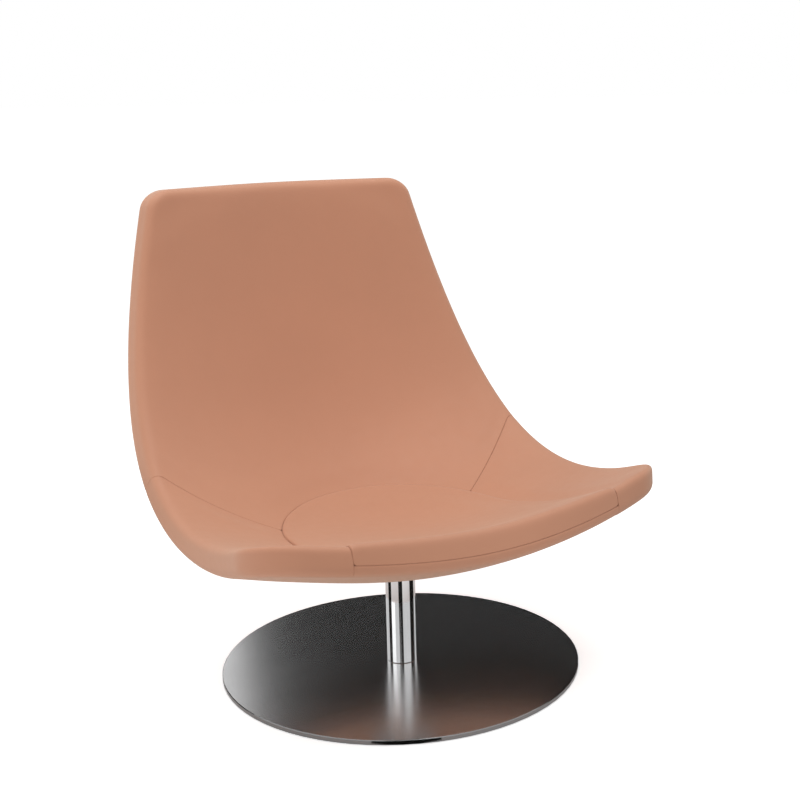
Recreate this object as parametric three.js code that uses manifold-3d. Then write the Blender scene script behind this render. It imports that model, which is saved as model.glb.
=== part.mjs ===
// Pedestal swivel armchair: an upholstered shell on a polished column and a round steel plate.
// Millimetres, +Z up. The origin is on the floor under the column, and the chair faces -Y.
import * as THREE from 'three';
import { mergeVertices, toCreasedNormals } from 'three/addons/utils/BufferGeometryUtils.js';
import Module from 'manifold-3d';

const wasm = await Module();
wasm.setup();

// Clearances
const FIT = 0.3; // between rigid pieces that touch
const SEAM = 0.3; // between neighbouring panels of the upholstery
const LAYER = 0.5; // between stacked layers of the seat
const CUT = 5; // how far a cutting or joining solid runs past the face
const TRIM_REACH = 25; // how far a trimming solid runs past both faces of the seat

// Facets
const ROUND_BASE = 72;
const ROUND_TUBE = 48;
const ROUND = 28;
const ROUND_SMALL = 16;
const OUTLINE_STEPS = 60; // round the rear of the pad
const CREASE_ANGLE = 40; // degrees between faces that stay sharp in the shading

// Base
const BASE_DIAMETER = 600;
const BASE_THICKNESS = 8;
const BASE_CHAMFER = 1;
const PAD_STANDOFF = 1; // how far the floor pad lifts the plate
const PAD_RECESS = 1; // depth of its recess in the plate
const PAD_INSET = 10; // from the edge of the plate
const COLUMN_DIAMETER = 50;
const COLUMN_WALL = 2.5;
const TUBE_CHAMFER = 0.8;
const PLUG_HEIGHT = 18;
const FOOT_BOLT_DIAMETER = 12;
const FOOT_BOLT_HEAD = 24;
const FOOT_BOLT_LENGTH = 22;
const FOOT_BOLT_RECESS = 0.4; // head above the face that the floor pad lies on
const SOCKET_SHARE = 0.75; // hexagon socket across its corners, as a share of the bolt
const TURNED_CHAMFER = 1; // on the small turned pieces

// Swivel bearing
const SPINDLE_DIAMETER = 30;
const BUSH_FLANGE = 3;
const UPPER_BUSH_LENGTH = 30;
const LOWER_BUSH_LENGTH = 22;
const LOWER_BUSH_DROP = 80; // from the top of the column to the top of the lower bush
const THRUST_WASHER = 2;
const SPINDLE_WASHER = 1.5;
const WASHER_CLEARANCE = 1.5; // from the washer's edge to the bore of the column
const CIRCLIP_THICKNESS = 1.5;
const CIRCLIP_GROOVE_DEPTH = 1.4;
const CIRCLIP_INSET = 0.8; // from the washer's edge
const CIRCLIP_HALF_OPENING = 25; // degrees
const SPINDLE_TAIL = 6; // below the circlip

// Seat flange and its fixings
const FLANGE_DIAMETER = 116;
const FLANGE_THICKNESS = 6;
const FLANGE_CHAMFER = 1;
const FLANGE_GAP = 0.7; // between the flange and the lowest point of the cover
const BOLT_COUNT = 4;
const BOLT_CIRCLE = 90;
const BOLT_DIAMETER = 8;
const BOLT_HOLE_CLEARANCE = 0.5; // round the bolt, in the flange
const BOLT_LENGTH = 20;
const BOLT_HEAD_ACROSS = 13;
const BOLT_HEAD_HEIGHT = 5.5;
const BOLT_FLANGE_DIAMETER = 17;
const BOLT_FLANGE_THICKNESS = 1.5;
const INSERT_DIAMETER = 12;
const INSERT_LENGTH = 14;
const INSERT_COLLAR_DIAMETER = 18;
const INSERT_COLLAR_THICKNESS = 1.5;
const BOSS_DIAMETER = 30;

// Sitting surface on the centre plane, from the front lip to the top of the back
const LIP_REACH = 298; // ahead of the column axis
const LIP_HEIGHT = 318;
const SEAT_PULL_REACH = 54; // the curve leaves the lip towards this point
const SEAT_PULL_HEIGHT = 193;
const BACK_PULL_DEPTH = 360; // and reaches the top from this one
const BACK_PULL_HEIGHT = 78;
const TOP_DEPTH = 406; // behind the column axis
const TOP_HEIGHT = 787;

// The same surface along its side edge
const CORNER_HALF_WIDTH = 374.5; // of the sharp corner, which is then rounded
const CORNER_REACH = 244.5;
const CORNER_HEIGHT = 361;
const WING_PULL_HALF_WIDTH = 342.5;
const WING_PULL_DEPTH = -21.5;
const WING_PULL_HEIGHT = 251;
const SIDE_PULL_HALF_WIDTH = 396.5;
const SIDE_PULL_DEPTH = 309;
const SIDE_PULL_HEIGHT = 242;
const TOP_HALF_WIDTH = 247;
const TOP_SIDE_DEPTH = 374;
const TOP_SIDE_HEIGHT = 786;
const DISH_SOFTNESS = 0.42; // how round the hollow is across: less is nearer a V
const LIP_FULLNESS = 2.485; // power of the lip's outline in plan: more is straighter, with tighter corners
const LIP_FADE = 3; // how soon that outline gives way to the hollow behind the lip
const MEASURED_SHARE = 0.7; // across, where lengths along the surface are measured
const UPRIGHT_REACH = 0.73; // share of the curves behind the lip where the rim turns upright at the wings

// Thickness and edges of the seat
const SEAT_THICKNESS = 44;
const RIM_RADIUS = 12;
const FRONT_CORNER_RADIUS = 74.5;
const TOP_CORNER_RADIUS = 33;
const RIM_WRAP = 15; // width of the padding outside the inner shell
const PADDING = 17; // front padding over the inner shell
const SHELL_WALL = 12;

// Raised pad and seams, in plan
const PAD_REAR_RADIUS = 198;
const PAD_REAR_DEPTH = 181;
const PAD_FLARE = 7.7; // degrees by which each side opens towards the lip
const PAD_LIFT = 5;
const PAD_EDGE_RADIUS = 12;
const PAD_CROWN = 6;
const SEAM_INNER_HALF_WIDTH = 186; // of the side seams, at the pad
const SEAM_INNER_DEPTH = 66;
const SEAM_OUTER_HALF_WIDTH = 343; // and at the rim
const SEAM_OUTER_DEPTH = 175;

// Levels that follow from the sizes above
const BASE_RADIUS = BASE_DIAMETER / 2;
const BASE_TOP = PAD_STANDOFF + BASE_THICKNESS;
const TUBE_RADIUS = COLUMN_DIAMETER / 2;
const TUBE_BORE = TUBE_RADIUS - COLUMN_WALL;
const SPINDLE_RADIUS = SPINDLE_DIAMETER / 2;
const FOOT_BOLT_RADIUS = FOOT_BOLT_DIAMETER / 2;
const FOOT_BOLT_CONE = (FOOT_BOLT_HEAD - FOOT_BOLT_DIAMETER) / 2;
const BACKING_TOP = PADDING + LAYER; // depths below the sitting surface
const BACKING_BOTTOM = BACKING_TOP + SHELL_WALL;
const COVER_TOP = BACKING_BOTTOM + LAYER;

const steel = { roughness: 0.16, metalness: 1 };
const colours = {
  polished: { color: 0xc9cbce, ...steel },
  plate: { color: 0x8a8c90, ...steel, roughness: 0.22 },
  zinc: { color: 0x9a9c9e, ...steel, roughness: 0.4 },
  black: { color: 0x1b1b1d, roughness: 0.6, metalness: 0 },
  nylon: { color: 0xd9d7cf, roughness: 0.5, metalness: 0 },
  moulded: { color: 0x4a3b30, roughness: 0.7, metalness: 0 },
  leather: { color: 0xc68a6a, roughness: 0.62, metalness: 0 },
};

const chair = new THREE.Group();

/** Adds one named piece. */
function place(name, geometry, look) {
  const mesh = new THREE.Mesh(geometry, new THREE.MeshStandardMaterial(colours[look]));
  mesh.name = name;
  chair.add(mesh);
  return mesh;
}

/** Closed three.js geometry to a solid that can be cut and joined. */
function toSolid(geometry) {
  const bare = geometry.index ? geometry.toNonIndexed() : geometry.clone();
  bare.deleteAttribute('normal');
  bare.deleteAttribute('uv');
  const merged = mergeVertices(bare, 1e-4);
  return new wasm.Manifold(new wasm.Mesh({
    numProp: 3,
    vertProperties: new Float32Array(merged.attributes.position.array),
    triVerts: new Uint32Array(merged.index.array),
  }));
}

/** Solid back to a three.js geometry. */
function toGeometry(solid) {
  const mesh = solid.getMesh();
  const geometry = new THREE.BufferGeometry();
  geometry.setAttribute('position', new THREE.BufferAttribute(new Float32Array(mesh.vertProperties), 3));
  geometry.setIndex(new THREE.BufferAttribute(new Uint32Array(mesh.triVerts), 1));
  return toCreasedNormals(geometry, THREE.MathUtils.degToRad(CREASE_ANGLE));
}

/** Turned piece about Z from [radius, height] pairs. A profile off the axis is closed on itself. */
function turned(pairs, segments) {
  const points = pairs.map(([r, z]) => new THREE.Vector2(r, z));
  if (pairs[0][0] > 0) points.push(points[0].clone());
  const geometry = new THREE.LatheGeometry(points, segments);
  geometry.rotateX(Math.PI / 2);
  return geometry;
}

/** Ring of rectangular section, with a chamfer on its outer edges where one is given. */
function ring(inner, outer, bottom, top, chamfer, segments) {
  if (chamfer === 0) return turned([[inner, bottom], [outer, bottom], [outer, top], [inner, top]], segments);
  return turned([
    [inner, bottom], [outer - chamfer, bottom], [outer, bottom + chamfer],
    [outer, top - chamfer], [outer - chamfer, top], [inner, top],
  ], segments);
}

/** Upright cylinder between two heights. */
function cylinder(radius, bottom, top, segments, x = 0, y = 0) {
  const geometry = new THREE.CylinderGeometry(radius, radius, top - bottom, segments);
  geometry.rotateX(Math.PI / 2);
  geometry.translate(x, y, (bottom + top) / 2);
  return geometry;
}

/** Upright prism of a plan outline. */
function prism(shape, bottom, top, curveSegments = ROUND) {
  const depth = top - bottom;
  const geometry = new THREE.ExtrudeGeometry(shape, { depth, bevelEnabled: false, curveSegments });
  geometry.translate(0, 0, bottom);
  return geometry;
}

// Sitting surface

const centreCurve = new THREE.CubicBezierCurve3(
  new THREE.Vector3(0, -LIP_REACH, LIP_HEIGHT),
  new THREE.Vector3(0, -SEAT_PULL_REACH, SEAT_PULL_HEIGHT),
  new THREE.Vector3(0, BACK_PULL_DEPTH, BACK_PULL_HEIGHT),
  new THREE.Vector3(0, TOP_DEPTH, TOP_HEIGHT),
);
const sideCurve = new THREE.CubicBezierCurve3(
  new THREE.Vector3(CORNER_HALF_WIDTH, -CORNER_REACH, CORNER_HEIGHT),
  new THREE.Vector3(WING_PULL_HALF_WIDTH, WING_PULL_DEPTH, WING_PULL_HEIGHT),
  new THREE.Vector3(SIDE_PULL_HALF_WIDTH, SIDE_PULL_DEPTH, SIDE_PULL_HEIGHT),
  new THREE.Vector3(TOP_HALF_WIDTH, TOP_SIDE_DEPTH, TOP_SIDE_HEIGHT),
);

/** Share of the way from the centre curve to the side curve, smooth through the middle. */
function dish(u) {
  const s = DISH_SOFTNESS;
  return (Math.hypot(u, s) - s) / (Math.hypot(1, s) - s);
}

/** Point of the sitting surface: u across from -1 to 1, v from the lip (0) to the top (1). */
function surfacePoint(u, v) {
  const middle = centreCurve.getPoint(v);
  const side = sideCurve.getPoint(v);
  const hollow = dish(u);
  const nearLip = Math.max(1 - v, 0) ** LIP_FADE;
  const outline = THREE.MathUtils.lerp(hollow, Math.abs(u) ** LIP_FULLNESS, nearLip);
  return new THREE.Vector3(
    side.x * u,
    THREE.MathUtils.lerp(middle.y, side.y, outline),
    THREE.MathUtils.lerp(middle.z, side.z, hollow),
  );
}

/** Unit normal of the sitting surface, on the sitter's side. */
function surfaceNormal(u, v) {
  const step = 1e-3;
  const across = surfacePoint(u + step, v).sub(surfacePoint(u - step, v));
  const along = surfacePoint(u, v + step).sub(surfacePoint(u, v - step));
  return across.cross(along).normalize();
}

/** Direction of the seat's thickness: square to the surface behind, more upright towards the front wings. */
function thicknessDirection(u, v) {
  const direction = surfaceNormal(u, v);
  const upright = THREE.MathUtils.smoothstep(1 - v / UPRIGHT_REACH, 0, 1);
  direction.x *= 1 - upright;
  direction.y *= 1 - upright * Math.min(u * u, 1);
  return direction.normalize();
}

/** Point at a depth below the sitting surface. */
function surfaceBelow(u, v, depth) {
  return surfacePoint(u, v).addScaledVector(thicknessDirection(u, v), -depth);
}

/** Values of v against the length of the surface from the lip. */
const lengthTable = (() => {
  const steps = 400;
  const table = [{ v: 0, length: 0 }];
  let last = surfacePoint(MEASURED_SHARE, 0);
  for (let i = 1; i <= steps; i += 1) {
    const point = surfacePoint(MEASURED_SHARE, i / steps);
    table.push({ v: i / steps, length: table[i - 1].length + point.distanceTo(last) });
    last = point;
  }
  return table;
})();
const SURFACE_LENGTH = lengthTable[lengthTable.length - 1].length;

/** v at a length from the lip. Outside the surface it runs on at the end's rate. */
function vAtLength(length) {
  const last = lengthTable.length - 1;
  let i = 1;
  while (i < last && lengthTable[i].length < length) i += 1;
  const a = lengthTable[i - 1];
  const b = lengthTable[i];
  return a.v + (b.v - a.v) * (length - a.length) / (b.length - a.length);
}

/** Evenly spaced values, both ends included. */
function spread(from, to, count) {
  return Array.from({ length: count + 1 }, (_, i) => from + (to - from) * i / count);
}

/** Distances from an edge that step round a quarter circle evenly. */
function roundSteps(radius, count) {
  return spread(0, Math.PI / 2, count).map((angle) => radius * (1 - Math.cos(angle)));
}

/** How far a round edge has dropped at a distance from it. */
function roundDrop(distance, radius) {
  if (distance >= radius) return 0;
  const reach = radius - Math.max(distance, 0);
  return radius - Math.sqrt(radius * radius - reach * reach);
}

const GRID_ACROSS = 12; // columns between the round edges
const GRID_ALONG = 18; // rows between the round ends
const LAYER_ALONG = 18; // rows of an untrimmed layer
const LAYER_MARGIN = 0.05; // share by which it runs past the seat on every side
const EDGE_STEPS = 3; // facets round an edge
const CORNER_STEPS = 4; // rows round a corner of the outline

/**
 * Closed plate that follows the sitting surface between two depths.
 * inset: distance of its outline inside the seat's; radius: rounding of its edges.
 */
function plate({ inset, upper, lower, radius = 0 }) {
  const end = Math.max(FRONT_CORNER_RADIUS, TOP_CORNER_RADIUS);
  const edge = radius > 0 ? roundSteps(radius, EDGE_STEPS) : [0];
  const rowsAt = (corner) => {
    const own = [...edge, ...roundSteps(Math.max(corner - inset, 1), CORNER_STEPS)];
    const sorted = own.sort((a, b) => a - b);
    return sorted.filter((d, i) => i === 0 || d - sorted[i - 1] > 0.4).map((d) => d + inset);
  };
  const front = rowsAt(FRONT_CORNER_RADIUS).filter((d) => d < end);
  const back = rowsAt(TOP_CORNER_RADIUS).filter((d) => d < end);
  const middle = spread(end, SURFACE_LENGTH - end, GRID_ALONG);
  const lengths = [...front, ...middle, ...back.map((d) => SURFACE_LENGTH - d).reverse()];
  const upperRows = [];
  const lowerRows = [];
  for (const length of lengths) {
    const v = vAtLength(length);
    const fromFront = length < SURFACE_LENGTH / 2;
    const corner = Math.max((fromFront ? FRONT_CORNER_RADIUS : TOP_CORNER_RADIUS) - inset, 1);
    const fromEnd = (fromFront ? length : SURFACE_LENGTH - length) - inset;
    const width = sideCurve.getPoint(v).x;
    const half = width - inset - roundDrop(fromEnd, corner);
    const positions = [...spread(0, half - edge[edge.length - 1], GRID_ACROSS / 2)];
    for (const d of edge.slice(0, -1).reverse()) positions.push(half - d);
    const row = [...positions.slice(1).map((x) => -x).reverse(), ...positions];
    const up = [];
    const down = [];
    for (const x of row) {
      const fromSide = width - inset - Math.abs(x);
      const inCorner = fromSide < corner && fromEnd < corner;
      const fromCorner = corner - Math.hypot(corner - fromSide, corner - fromEnd);
      const distance = inCorner ? fromCorner : Math.min(fromSide, fromEnd);
      const drop = radius > 0 ? roundDrop(distance, radius) : 0;
      const u = x / width;
      up.push(surfaceBelow(u, v, upper + drop));
      down.push(surfaceBelow(u, v, lower - drop));
    }
    upperRows.push(up);
    lowerRows.push(down);
  }
  return closedGrid(upperRows, lowerRows);
}

/** Untrimmed layer between two depths. All layers share one grid, so they lie parallel. */
function layer(upper, lower) {
  const across = spread(-1 - LAYER_MARGIN, 1 + LAYER_MARGIN, GRID_ACROSS);
  const along = spread(-LAYER_MARGIN, 1 + LAYER_MARGIN, LAYER_ALONG);
  const rowsAt = (depth) => along.map((v) => across.map((u) => surfaceBelow(u, v, depth)));
  return toSolid(closedGrid(rowsAt(upper), rowsAt(lower)));
}

/** Trimming solid: everything above and below the part of the seat that is inside an inset. */
function within(inset) {
  return toSolid(plate({ inset, upper: -TRIM_REACH, lower: SEAT_THICKNESS + TRIM_REACH }));
}

/** Closed geometry from two grids of points that share their outline's order. */
function closedGrid(upperRows, lowerRows) {
  const rows = upperRows.length;
  const columns = upperRows[0].length;
  const positions = [];
  for (const point of [...upperRows.flat(), ...lowerRows.flat()]) positions.push(point.x, point.y, point.z);
  const up = (i, j) => i * columns + j;
  const down = (i, j) => rows * columns + i * columns + j;
  const index = [];
  const quad = (a, b, c, d) => index.push(a, b, c, a, c, d);
  const middle = (columns - 1) / 2; // the diagonals mirror about this column
  for (let i = 0; i < rows - 1; i += 1) {
    for (let j = 0; j < columns - 1; j += 1) {
      const faces = [
        [up(i, j), up(i, j + 1), up(i + 1, j + 1), up(i + 1, j)],
        [down(i, j), down(i + 1, j), down(i + 1, j + 1), down(i, j + 1)],
      ];
      for (const [a, b, c, d] of faces) {
        if (j < middle) quad(a, b, c, d);
        else quad(b, c, d, a);
      }
    }
    const last = columns - 1;
    quad(up(i, 0), up(i + 1, 0), down(i + 1, 0), down(i, 0));
    quad(up(i + 1, last), up(i, last), down(i, last), down(i + 1, last));
  }
  for (let j = 0; j < columns - 1; j += 1) {
    const last = rows - 1;
    quad(up(0, j), down(0, j), down(0, j + 1), up(0, j + 1));
    quad(up(last, j), up(last, j + 1), down(last, j + 1), down(last, j));
  }
  const geometry = new THREE.BufferGeometry();
  geometry.setAttribute('position', new THREE.Float32BufferAttribute(positions, 3));
  geometry.setIndex(index);
  return geometry;
}

// Pad outline and side seams, in plan

const PLAN_LIMIT = 700; // beyond the seat on every side
const SEAM_START = 30; // the side seams begin this far under the pad's edge
const PAD_CENTRE = PAD_REAR_DEPTH - PAD_REAR_RADIUS; // of the round rear end
const PAD_FLARE_ANGLE = THREE.MathUtils.degToRad(PAD_FLARE);
const PAD_TANGENT = PAD_CENTRE + PAD_REAR_RADIUS * Math.sin(PAD_FLARE_ANGLE); // round end to straight sides

/** Half-width of the pad at a plan depth. */
function padHalfWidth(y) {
  if (y > PAD_TANGENT) return Math.sqrt(Math.max(PAD_REAR_RADIUS ** 2 - (y - PAD_CENTRE) ** 2, 0));
  return PAD_REAR_RADIUS * Math.cos(PAD_FLARE_ANGLE) + (PAD_TANGENT - y) * Math.tan(PAD_FLARE_ANGLE);
}

/** Plan outline of the pad, grown by a clearance. */
function padOutline(grow) {
  const shape = new THREE.Shape();
  const front = padHalfWidth(-PLAN_LIMIT) + grow / Math.cos(PAD_FLARE_ANGLE);
  const radius = PAD_REAR_RADIUS + grow;
  const angle = PAD_FLARE_ANGLE;
  shape.moveTo(front, -PLAN_LIMIT);
  shape.lineTo(radius * Math.cos(angle), PAD_CENTRE + radius * Math.sin(angle));
  shape.absarc(0, PAD_CENTRE, radius, angle, Math.PI - angle, false);
  shape.lineTo(-front, -PLAN_LIMIT);
  shape.closePath();
  return shape;
}

/** Height of the pad above the surface around it. */
function padLift(x, y) {
  const beside = (padHalfWidth(y) - Math.abs(x)) * Math.cos(PAD_FLARE_ANGLE);
  const inside = y < PAD_TANGENT ? beside : PAD_REAR_RADIUS - Math.hypot(x, y - PAD_CENTRE);
  if (inside <= 0) return 0;
  const edge = PAD_LIFT * (1 - roundDrop(inside, PAD_EDGE_RADIUS) / PAD_EDGE_RADIUS);
  const share = Math.min(inside / PAD_REAR_RADIUS, 1);
  return edge + PAD_CROWN * Math.sin(share * Math.PI / 2);
}

/** Plan region behind the two side seams (side 0) or ahead of the seam on one side (-1 or 1). */
function seamRegion(side) {
  const start = SEAM_INNER_HALF_WIDTH - SEAM_START;
  const slope = (SEAM_OUTER_DEPTH - SEAM_INNER_DEPTH) / (SEAM_OUTER_HALF_WIDTH - SEAM_INNER_HALF_WIDTH);
  const seamY = (x) => SEAM_INNER_DEPTH + (x - SEAM_INNER_HALF_WIDTH) * slope;
  const shape = new THREE.Shape();
  if (side === 0) {
    shape.moveTo(-PLAN_LIMIT, PLAN_LIMIT);
    shape.lineTo(-PLAN_LIMIT, seamY(PLAN_LIMIT));
    shape.lineTo(-start, seamY(start));
    shape.lineTo(start, seamY(start));
    shape.lineTo(PLAN_LIMIT, seamY(PLAN_LIMIT));
    shape.lineTo(PLAN_LIMIT, PLAN_LIMIT);
  } else {
    const gap = SEAM / Math.cos(Math.atan(slope));
    shape.moveTo(0, -PLAN_LIMIT);
    shape.lineTo(side * PLAN_LIMIT, -PLAN_LIMIT);
    shape.lineTo(side * PLAN_LIMIT, seamY(PLAN_LIMIT) - gap);
    shape.lineTo(side * start, seamY(start) - gap);
    shape.lineTo(0, seamY(start) - gap);
  }
  shape.closePath();
  return shape;
}

/** v where the surface reaches a plan depth y on the line at share u. */
function vAtDepth(u, y) {
  let low = -0.05;
  let high = 1;
  for (let i = 0; i < 40; i += 1) {
    const middle = (low + high) / 2;
    if (surfacePoint(u, middle).y < y) low = middle;
    else high = middle;
  }
  return (low + high) / 2;
}

/** Height of the surface's parallel at a depth below it, over a plan position. */
function heightBelow(x, y, depth) {
  let u = 0;
  let v = vAtDepth(0, y);
  for (let i = 0; i < 30; i += 1) {
    const point = surfaceBelow(u, v, depth);
    const rate = (surfacePoint(u, v + 1e-3).y - surfacePoint(u, v).y) / 1e-3;
    u += (x - point.x) / sideCurve.getPoint(v).x;
    v += (y - point.y) / rate;
  }
  return surfaceBelow(u, v, depth).z;
}

const PAD_ROWS = 7; // between the lip and the round rear end
const PAD_REAR_ROWS = 9; // round it
const PAD_REAR_END = 84; // degrees round it where the rows stop
const PAD_COLUMNS = 8;

/** Pad before its back is hollowed out: its own outline, a round lip and a crowned top. */
function padBlank() {
  const lip = roundSteps(RIM_RADIUS, EDGE_STEPS).map(vAtLength);
  const straight = spread(lip[lip.length - 1], vAtDepth(0, PAD_TANGENT), PAD_ROWS).slice(1);
  const angles = spread(PAD_FLARE_ANGLE, THREE.MathUtils.degToRad(PAD_REAR_END), PAD_REAR_ROWS).slice(1);
  const rear = angles.map((angle) => vAtDepth(0, PAD_CENTRE + PAD_REAR_RADIUS * Math.sin(angle)));
  const edge = roundSteps(PAD_EDGE_RADIUS, EDGE_STEPS);
  const upperRows = [];
  const lowerRows = [];
  for (const v of [...lip, ...straight, ...rear]) {
    const width = sideCurve.getPoint(v).x;
    const full = padHalfWidth(surfacePoint(0, v).y);
    const band = Math.min(1, full / (2 * PAD_EDGE_RADIUS));
    const inner = spread(0, full - edge[EDGE_STEPS] * band, PAD_COLUMNS / 2);
    const outer = edge.slice(0, -1).reverse().map((d) => full - d * band);
    const shares = [...inner, ...outer].map((x) => x / full);
    const row = [...shares.slice(1).map((s) => -s).reverse(), ...shares];
    const length = lengthTable.find((entry) => entry.v >= v).length;
    const drop = roundDrop(length, RIM_RADIUS);
    const up = [];
    const down = [];
    for (const share of row) {
      let x = share * full;
      for (let i = 0; i < 8; i += 1) x = share * padHalfWidth(surfacePoint(x / width, v).y);
      const on = surfacePoint(x / width, v);
      up.push(surfaceBelow(x / width, v, drop - padLift(on.x, on.y)));
      down.push(surfaceBelow(x / width, v, SEAT_THICKNESS));
    }
    upperRows.push(up);
    lowerRows.push(down);
  }
  return closedGrid(upperRows, lowerRows);
}

// Seat, from the column up

/** Lowest height of the seat's underside on the centre plane. */
function undersideLevel() {
  return Math.min(...spread(0, 0.7, 140).map((v) => surfaceBelow(0, v, SEAT_THICKNESS).z));
}

const FLANGE_TOP = undersideLevel() - FLANGE_GAP;
const FLANGE_BOTTOM = FLANGE_TOP - FLANGE_THICKNESS;
const THRUST_TOP = FLANGE_BOTTOM - FIT;
const THRUST_BOTTOM = THRUST_TOP - THRUST_WASHER;
const BUSH_TOP = THRUST_BOTTOM - FIT;
const TUBE_TOP = BUSH_TOP - BUSH_FLANGE - FIT;
const TUBE_BOTTOM = BASE_TOP + FIT;
const LOWER_BUSH_TOP = TUBE_TOP - LOWER_BUSH_DROP;
const LOWER_BUSH_BOTTOM = LOWER_BUSH_TOP - LOWER_BUSH_LENGTH;
const SPINDLE_WASHER_TOP = LOWER_BUSH_BOTTOM - FIT;
const SPINDLE_WASHER_BOTTOM = SPINDLE_WASHER_TOP - SPINDLE_WASHER;
const CIRCLIP_TOP = SPINDLE_WASHER_BOTTOM - FIT;
const CIRCLIP_BOTTOM = CIRCLIP_TOP - CIRCLIP_THICKNESS;
const SPINDLE_BOTTOM = CIRCLIP_BOTTOM - SPINDLE_TAIL;

const boltPlaces = Array.from({ length: BOLT_COUNT }, (_, i) => {
  const angle = (i + 0.5) * 2 * Math.PI / BOLT_COUNT;
  const radius = BOLT_CIRCLE / 2;
  return { number: i + 1, x: radius * Math.cos(angle), y: radius * Math.sin(angle) };
});

/** Round plate on its floor pad, and the bolt and plug that hold the column to it. */
function makeBase() {
  const top = BASE_TOP;
  const bottom = PAD_STANDOFF;
  const recess = bottom + PAD_RECESS;
  const padRadius = BASE_RADIUS - PAD_INSET;
  const hole = FOOT_BOLT_RADIUS + FIT;
  const sink = recess + FOOT_BOLT_RECESS;
  const profile = [
    [hole, top], [hole, sink + FOOT_BOLT_CONE + FIT],
    [hole + FOOT_BOLT_CONE, sink], [hole + FOOT_BOLT_CONE, recess],
    [padRadius + FIT, recess], [padRadius + FIT, bottom],
    [BASE_RADIUS - BASE_CHAMFER, bottom], [BASE_RADIUS, bottom + BASE_CHAMFER],
    [BASE_RADIUS, top - BASE_CHAMFER], [BASE_RADIUS - BASE_CHAMFER, top],
  ];
  place('base_plate', turned(profile, ROUND_BASE), 'plate');
  place('floor_pad', cylinder(padRadius, 0, recess - FIT, ROUND_BASE), 'black');

  const coneTop = sink + FOOT_BOLT_CONE;
  const end = sink + FOOT_BOLT_LENGTH;
  const shank = FOOT_BOLT_RADIUS - FIT / 2;
  const bolt = turned([
    [0, sink], [FOOT_BOLT_RADIUS + FOOT_BOLT_CONE - FIT, sink], [shank, coneTop],
    [shank, end - TURNED_CHAMFER], [shank - TURNED_CHAMFER, end], [0, end],
  ], ROUND_SMALL);
  const socket = cylinder(FOOT_BOLT_RADIUS * SOCKET_SHARE, sink - CUT, sink + FOOT_BOLT_RADIUS, 6);
  place('column_bolt', toGeometry(toSolid(bolt).subtract(toSolid(socket))), 'zinc');
  const plug = [FOOT_BOLT_RADIUS + FIT, TUBE_BORE - FIT, TUBE_BOTTOM, TUBE_BOTTOM + PLUG_HEIGHT];
  place('column_foot_plug', ring(...plug, TURNED_CHAMFER, ROUND), 'zinc');
}

/** Column tube with the bushes and the thrust washer that stay in it. */
function makeColumn() {
  const c = TUBE_CHAMFER;
  place('column_tube', turned([
    [TUBE_BORE, TUBE_BOTTOM], [TUBE_RADIUS - c, TUBE_BOTTOM], [TUBE_RADIUS, TUBE_BOTTOM + c],
    [TUBE_RADIUS, TUBE_TOP - c], [TUBE_RADIUS - c, TUBE_TOP], [TUBE_BORE, TUBE_TOP],
  ], ROUND_TUBE), 'polished');
  const bore = SPINDLE_RADIUS + FIT;
  const seat = TUBE_BORE - FIT;
  place('upper_bush', turned([
    [bore, TUBE_TOP - UPPER_BUSH_LENGTH], [seat, TUBE_TOP - UPPER_BUSH_LENGTH], [seat, TUBE_TOP + FIT],
    [TUBE_RADIUS - c, TUBE_TOP + FIT], [TUBE_RADIUS, TUBE_TOP + FIT + c],
    [TUBE_RADIUS, BUSH_TOP], [bore, BUSH_TOP],
  ], ROUND), 'nylon');
  place('lower_bush', ring(bore, seat, LOWER_BUSH_BOTTOM, LOWER_BUSH_TOP, TURNED_CHAMFER, ROUND), 'nylon');
  place('thrust_washer', ring(bore, TUBE_RADIUS - c, THRUST_BOTTOM, THRUST_TOP, 0, ROUND), 'black');
}

/** Spindle with its washer and open clip, and the round flange welded to its top. */
function makeSpindle() {
  const neck = SPINDLE_RADIUS - CIRCLIP_GROOVE_DEPTH;
  place('swivel_spindle', turned([
    [0, SPINDLE_BOTTOM], [SPINDLE_RADIUS - TURNED_CHAMFER, SPINDLE_BOTTOM],
    [SPINDLE_RADIUS, SPINDLE_BOTTOM + TURNED_CHAMFER],
    [SPINDLE_RADIUS, CIRCLIP_BOTTOM - FIT], [neck, CIRCLIP_BOTTOM - FIT], [neck, CIRCLIP_TOP + FIT],
    [SPINDLE_RADIUS, CIRCLIP_TOP + FIT], [SPINDLE_RADIUS, FLANGE_TOP], [0, FLANGE_TOP],
  ], ROUND), 'zinc');
  const washerOuter = TUBE_BORE - WASHER_CLEARANCE;
  place('spindle_washer', ring(
    SPINDLE_RADIUS + FIT, washerOuter, SPINDLE_WASHER_BOTTOM, SPINDLE_WASHER_TOP, 0, ROUND), 'zinc');
  const opening = THREE.MathUtils.degToRad(CIRCLIP_HALF_OPENING);
  const clip = new THREE.Shape();
  clip.absarc(0, 0, washerOuter - CIRCLIP_INSET, opening, 2 * Math.PI - opening, false);
  clip.absarc(0, 0, neck + FIT, 2 * Math.PI - opening, opening, true);
  clip.closePath();
  place('spindle_circlip', prism(clip, CIRCLIP_BOTTOM, CIRCLIP_TOP), 'black');

  let flange = toSolid(ring(
    SPINDLE_RADIUS + FIT, FLANGE_DIAMETER / 2, FLANGE_BOTTOM, FLANGE_TOP, FLANGE_CHAMFER, ROUND_TUBE));
  for (const { x, y } of boltPlaces) {
    const radius = BOLT_DIAMETER / 2 + BOLT_HOLE_CLEARANCE;
    const hole = cylinder(radius, FLANGE_BOTTOM - CUT, FLANGE_TOP + CUT, ROUND_SMALL, x, y);
    flange = flange.subtract(toSolid(hole));
  }
  place('seat_flange', toGeometry(flange), 'zinc');
}

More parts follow.
